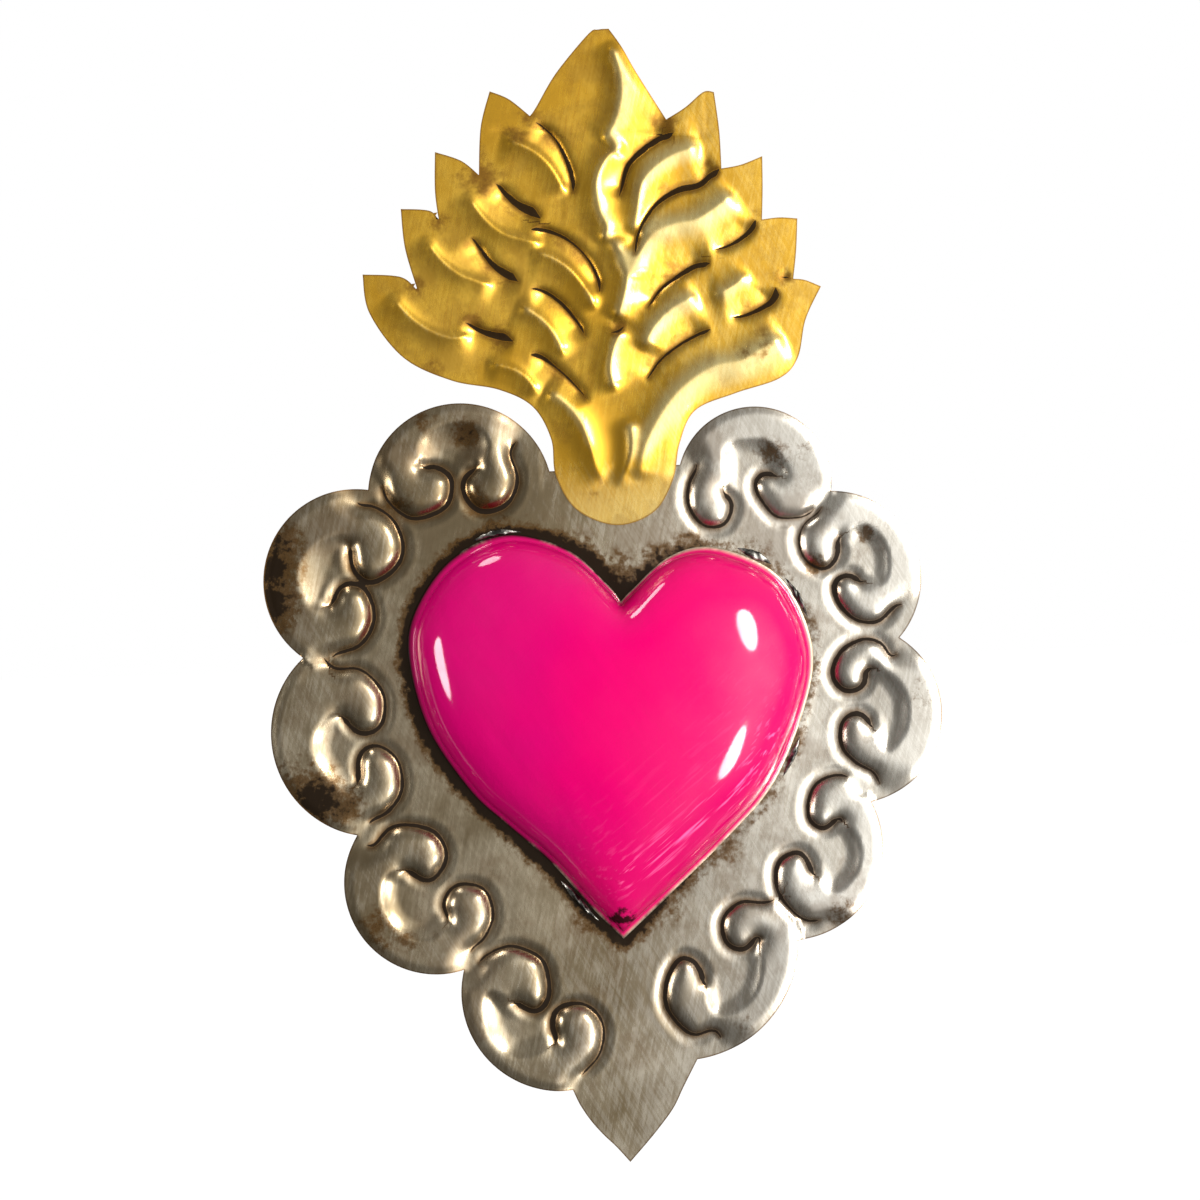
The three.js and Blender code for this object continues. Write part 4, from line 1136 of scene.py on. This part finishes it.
class PLAQUE_OT_heart(bpy.types.Operator):
    """Builds the hollow enamelled heart"""

    bl_idname = "plaque.heart"
    bl_label = "Enamelled heart"

    def execute(self, context):
        settings = context.scene.plaque.heart
        wall = settings.wall / MM
        foot = 1 + settings.foot_width / MM / HEART.mean_radius
        section = heart_section(wall, foot, settings.rings)
        bm = bmesh.new()
        verts = [bm.verts.new((share, -height, 0)) for share, height in section]
        edges = [bm.edges.new(pair) for pair in zip(verts, verts[1:])]
        bmesh.ops.spin(
            bm, geom=[*verts, *edges], cent=(0, 0, 0), axis=(0, 1, 0), dvec=(0, 0, 0),
            angle=math.tau, steps=settings.sides, use_merge=True, use_duplicate=False,
        )
        bmesh.ops.remove_doubles(bm, verts=bm.verts[:], dist=1e-5)
        # Spun round, then drawn out to the heart's outline
        spun = np.array([vert.co[:] for vert in bm.verts])
        share = np.hypot(spun[:, 0], spun[:, 2])
        angle = np.arctan2(spun[:, 0], spun[:, 2]) + HEART.notch_angle
        x, z = HEART.place(angle, share)
        front = PLATE_BACK - wall
        # Bare on the foot, worn just above the tip, brushed along one line, where the enamel's ridges also
        # get a painted highlight, and glossiest down the sides
        bareness = rise(share, across_foot(0.35, foot), across_foot(0.75, foot))
        wear = np.exp(-(((x + 0.8) / 3.6) ** 2) - ((z - HEART_TIP[1] - 2.6) / 2.3) ** 2)
        to_ridges = nearest(smooth_line(BRUSH_LINE), np.column_stack([x, z]))[:, 0]
        ridges = np.exp(-((to_ridges / 2.6) ** 2)) + 0.15 * np.exp(-((to_ridges / 12) ** 2))
        sides = rise(share, 0.45, 0.8)
        bare, worn, brushed, polished = (
            bm.verts.layers.float.new(layer) for layer in ("foot", "worn", "brushed", "polished")
        )
        for index, vert in enumerate(bm.verts):
            vert.co = to_frame(x[index], front + spun[index, 1], z[index])
            vert[bare] = bareness[index]
            vert[worn] = wear[index]
            vert[brushed] = ridges[index]
            vert[polished] = sides[index]
        bmesh.ops.recalc_face_normals(bm, faces=bm.faces[:])
        material = enamel(context.scene.plaque.colours)
        finish_piece(bm, "enamelled_heart", "heart_dome", material)
        return {"FINISHED"}


class PLAQUE_OT_strap(bpy.types.Operator):
    """Builds the hanging strap behind the plate"""

    bl_idname = "plaque.strap"
    bl_label = "Hanging strap"

    def execute(self, context):
        low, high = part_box("hanger_strap")
        thickness = 0.5 * MM
        # Half the width of the crown that lies on the wall, and of the whole bridge with its slopes
        crown, ramp = 6.5 * MM, 10 * MM
        line = [
            (low.x, low.y), (-ramp, low.y), (-crown, high.y - thickness),
            (crown, high.y - thickness), (ramp, low.y), (high.x, low.y),
        ]
        bm = bmesh.new()
        verts = [bm.verts.new((x, y, low.z)) for x, y in line]
        edges = [bm.edges.new(pair) for pair in zip(verts, verts[1:])]
        bmesh.ops.bevel(
            bm, geom=[*verts[1:-1], *edges], offset=1.2 * MM, segments=5, profile=0.5,
            affect="VERTICES", material=-1,
        )
        made = bmesh.ops.extrude_edge_only(bm, edges=bm.edges[:])["geom"]
        for vert in [item for item in made if isinstance(item, bmesh.types.BMVert)]:
            vert.co.z = high.z
        bmesh.ops.remove_doubles(bm, verts=bm.verts[:], dist=1e-7)
        bmesh.ops.recalc_face_normals(bm, faces=bm.faces[:])
        # The strip's faces are turned to the wall, and it thickens that way
        for face in bm.faces:
            face.normal_update()
        if sum(face.normal.y for face in bm.faces) < 0:
            bmesh.ops.reverse_faces(bm, faces=bm.faces[:])
        bmesh.ops.solidify(bm, geom=bm.faces[:], thickness=-thickness)
        material = plain_tin(context.scene.plaque.colours)
        piece = finish_piece(bm, "tin_strap", "hanger_strap", material)
        bevel = piece.modifiers.new("Bevel", "BEVEL")
        bevel.width = 0.12 * MM
        bevel.segments = 2
        bevel.limit_method = "ANGLE"
        return {"FINISHED"}


class PLAQUE_OT_solder(bpy.types.Operator):
    """Builds the solder"""

    bl_idname = "plaque.solder"
    bl_label = "Solder"

    def execute(self, context):
        material = solder_metal(context.scene.plaque.colours)
        foot = context.scene.plaque.heart.foot_width / MM
        front = PLATE_BACK - context.scene.plaque.sheets.thickness / MM
        for index, (name, start, end, reach, high) in enumerate(HEART_SOLDER):

            def beside_heart(along, across, up):
                angle = np.array([math.radians((start + end + along * (end - start)) / 2)])
                x, z = HEART.place(angle, np.array([1.0]), foot + 0.15 + reach * (1 + across) / 2)
                return to_frame(x[0], front - high * up, z[0])

            bm = solder_lump(index, beside_heart)
            finish_piece(bm, f"solder_{name}", f"heart_solder_{name}", material)
        for index, node in enumerate(HIDDEN_SOLDER):
            low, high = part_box(node)
            behind = node.startswith("strap")

            def in_box(along, across, up):
                depth = up * (high.y - low.y)
                middle = (low.x + high.x) / 2 + across * (high.x - low.x) / 2
                tall = (low.z + high.z) / 2 + along * (high.z - low.z) / 2
                return Vector((middle, low.y + depth if behind else high.y - depth, tall))

            bm = solder_lump(index + HIDDEN_SEED, in_box)
            finish_piece(bm, node.replace("solder", "bead"), node, material)
        return {"FINISHED"}


class PLAQUE_OT_stage(bpy.types.Operator):
    """Adds the floor, the lamps and the camera"""

    bl_idname = "plaque.stage"
    bl_label = "Stage"

    def execute(self, context):
        settings = context.scene.plaque.stage
        scene = context.scene
        scene.view_settings.view_transform = "Standard"
        self.add_floor()
        self.light_world(scene)
        for lamp in LAMPS:
            self.add_lamp(*lamp, settings.lamp_power)
        self.add_camera(scene, settings)
        return {"FINISHED"}

    def add_floor(self):
        """A floor behind and below the plaque, which glows white to the camera and in reflections."""
        bm = bmesh.new()
        bmesh.ops.create_grid(bm, x_segments=1, y_segments=1, size=6)
        bmesh.ops.translate(bm, verts=bm.verts[:], vec=(0, 6.03, -0.26))
        mesh = bpy.data.meshes.new("floor")
        bm.to_mesh(mesh)
        bm.free()
        material, shader, _ = new_material("pale_floor")
        feed(shader, Base_Color=(0.9, 0.9, 0.9, 1), Roughness=0.8)
        tree = shader.id_data
        path = tree.nodes.new("ShaderNodeLightPath")
        seen = Tap(path.outputs["Is Camera Ray"])
        seen = seen.math("MAXIMUM", seen, Tap(path.outputs["Is Glossy Ray"]))
        glow = seen.node("ShaderNodeEmission", None, {"Color": (1, 1, 1, 1), "Strength": 1.15})
        mixed = seen.node("ShaderNodeMixShader", None, {0: seen * 0.85, 1: Tap(shader.outputs[0]), 2: glow})
        tree.links.new(mixed.socket, tree.nodes["Material Output"].inputs["Surface"])
        mesh.materials.append(material)
        floor = bpy.data.objects.new("floor", mesh)
        bpy.context.scene.collection.objects.link(floor)

    def light_world(self, scene):
        """A white backdrop, and a room in front with a soft window to the right."""
        world = bpy.data.worlds.new("studio")
        world.use_nodes = True
        scene.world = world
        tree = world.node_tree
        path = tree.nodes.new("ShaderNodeLightPath")
        glossy = Tap(path.outputs["Is Glossy Ray"])
        camera, through = Tap(path.outputs["Is Camera Ray"]), Tap(path.outputs["Is Transmission Ray"])
        seen = camera.math("MAXIMUM", camera, through)
        way = Tap(tree.nodes.new("ShaderNodeTexCoord").outputs["Generated"])
        right, back, up = (
            way.node("ShaderNodeSeparateXYZ", None, {0: way}, output=axis) for axis in range(3)
        )
        turn, lift, power = SOFT_WINDOW
        aimed = way.node(
            "ShaderNodeVectorMath", {"operation": "DOT_PRODUCT"}, {0: way, 1: direction(turn, lift)}, output=1
        )
        # The room is brighter to the right and above; behind, it reflects as white as the camera sees it
        room = 0.32 + right * 0.24 + up * 0.1 + aimed.between(0.73, 1.18) * power
        white = seen.math("MAXIMUM", seen, glossy * back.between(0.0, 0.4))
        strength = room + white * (1.0 - room)
        tree.nodes["Background"].inputs["Color"].default_value = (1, 1, 1, 1)
        tree.links.new(strength.socket, tree.nodes["Background"].inputs["Strength"])

    def add_lamp(self, name, turn, lift, distance, width, height, share, power):
        """An elliptic lamp aimed at the plaque."""
        middle = Vector((0, PLATE_BACK * MM, LAMP_AIM))
        towards = direction(turn, lift)
        lamp = bpy.data.lights.new(name, "AREA")
        lamp.shape = "ELLIPSE"
        lamp.size = width
        lamp.size_y = height
        lamp.energy = power * share
        lamp_object = bpy.data.objects.new(name, lamp)
        lamp_object.location = middle + towards * distance
        lamp_object.rotation_euler = (-towards).to_track_quat("-Z", "Y").to_euler()
        bpy.context.scene.collection.objects.link(lamp_object)

    def add_camera(self, scene, settings):
        """The camera, level with the plaque and square to it."""
        camera = bpy.data.cameras.new("camera")
        camera.lens = camera.sensor_width * settings.distance / settings.view_width
        camera_object = bpy.data.objects.new("camera", camera)
        front = PLATE_BACK * MM - scene.plaque.sheets.thickness
        place = Vector((CAMERA_PLACE[0], front - settings.distance, CAMERA_PLACE[1]))
        turn = Matrix.Rotation(math.radians(90), 3, "X") @ Matrix.Rotation(-settings.roll, 3, "Z")
        camera_object.matrix_world = Matrix.Translation(place) @ turn.to_4x4()
        scene.collection.objects.link(camera_object)
        scene.camera = camera_object


class PLAQUE_PT_panel(bpy.types.Panel):
    """Lists the plaque's pieces and sizes"""

    bl_idname = "PLAQUE_PT_panel"
    bl_label = "Tin plaque"
    bl_space_type = "VIEW_3D"
    bl_region_type = "UI"
    bl_category = "Plaque"

    def draw(self, context):
        settings = context.scene.plaque
        for group in (settings.sheets, settings.heart, settings.colours, settings.stage):
            box = self.layout.box()
            for name in group.__annotations__:
                box.prop(group, name)
        for operator in OPERATORS:
            self.layout.operator(operator.bl_idname)


OPERATORS = (
    PLAQUE_OT_plate,
    PLAQUE_OT_flame,
    PLAQUE_OT_heart,
    PLAQUE_OT_strap,
    PLAQUE_OT_solder,
    PLAQUE_OT_stage,
)
CLASSES = (
    SheetSettings,
    HeartSettings,
    ColourSettings,
    StageSettings,
    PlaqueSettings,
    *OPERATORS,
    PLAQUE_PT_panel,
)


def register():
    """Adds the settings, the operators and the panel to Blender."""
    for kind in CLASSES:
        bpy.utils.register_class(kind)
    bpy.types.Scene.plaque = bpy.props.PointerProperty(type=PlaqueSettings)


def unregister():
    """Takes them out again."""
    del bpy.types.Scene.plaque
    for kind in reversed(CLASSES):
        bpy.utils.unregister_class(kind)


def main():
    """Builds the plaque and its stage."""
    register()
    bpy.ops.plaque.plate()
    bpy.ops.plaque.flame()
    bpy.ops.plaque.heart()
    bpy.ops.plaque.strap()
    bpy.ops.plaque.solder()
    bpy.ops.plaque.stage()


if __name__ == "__main__":
    main()
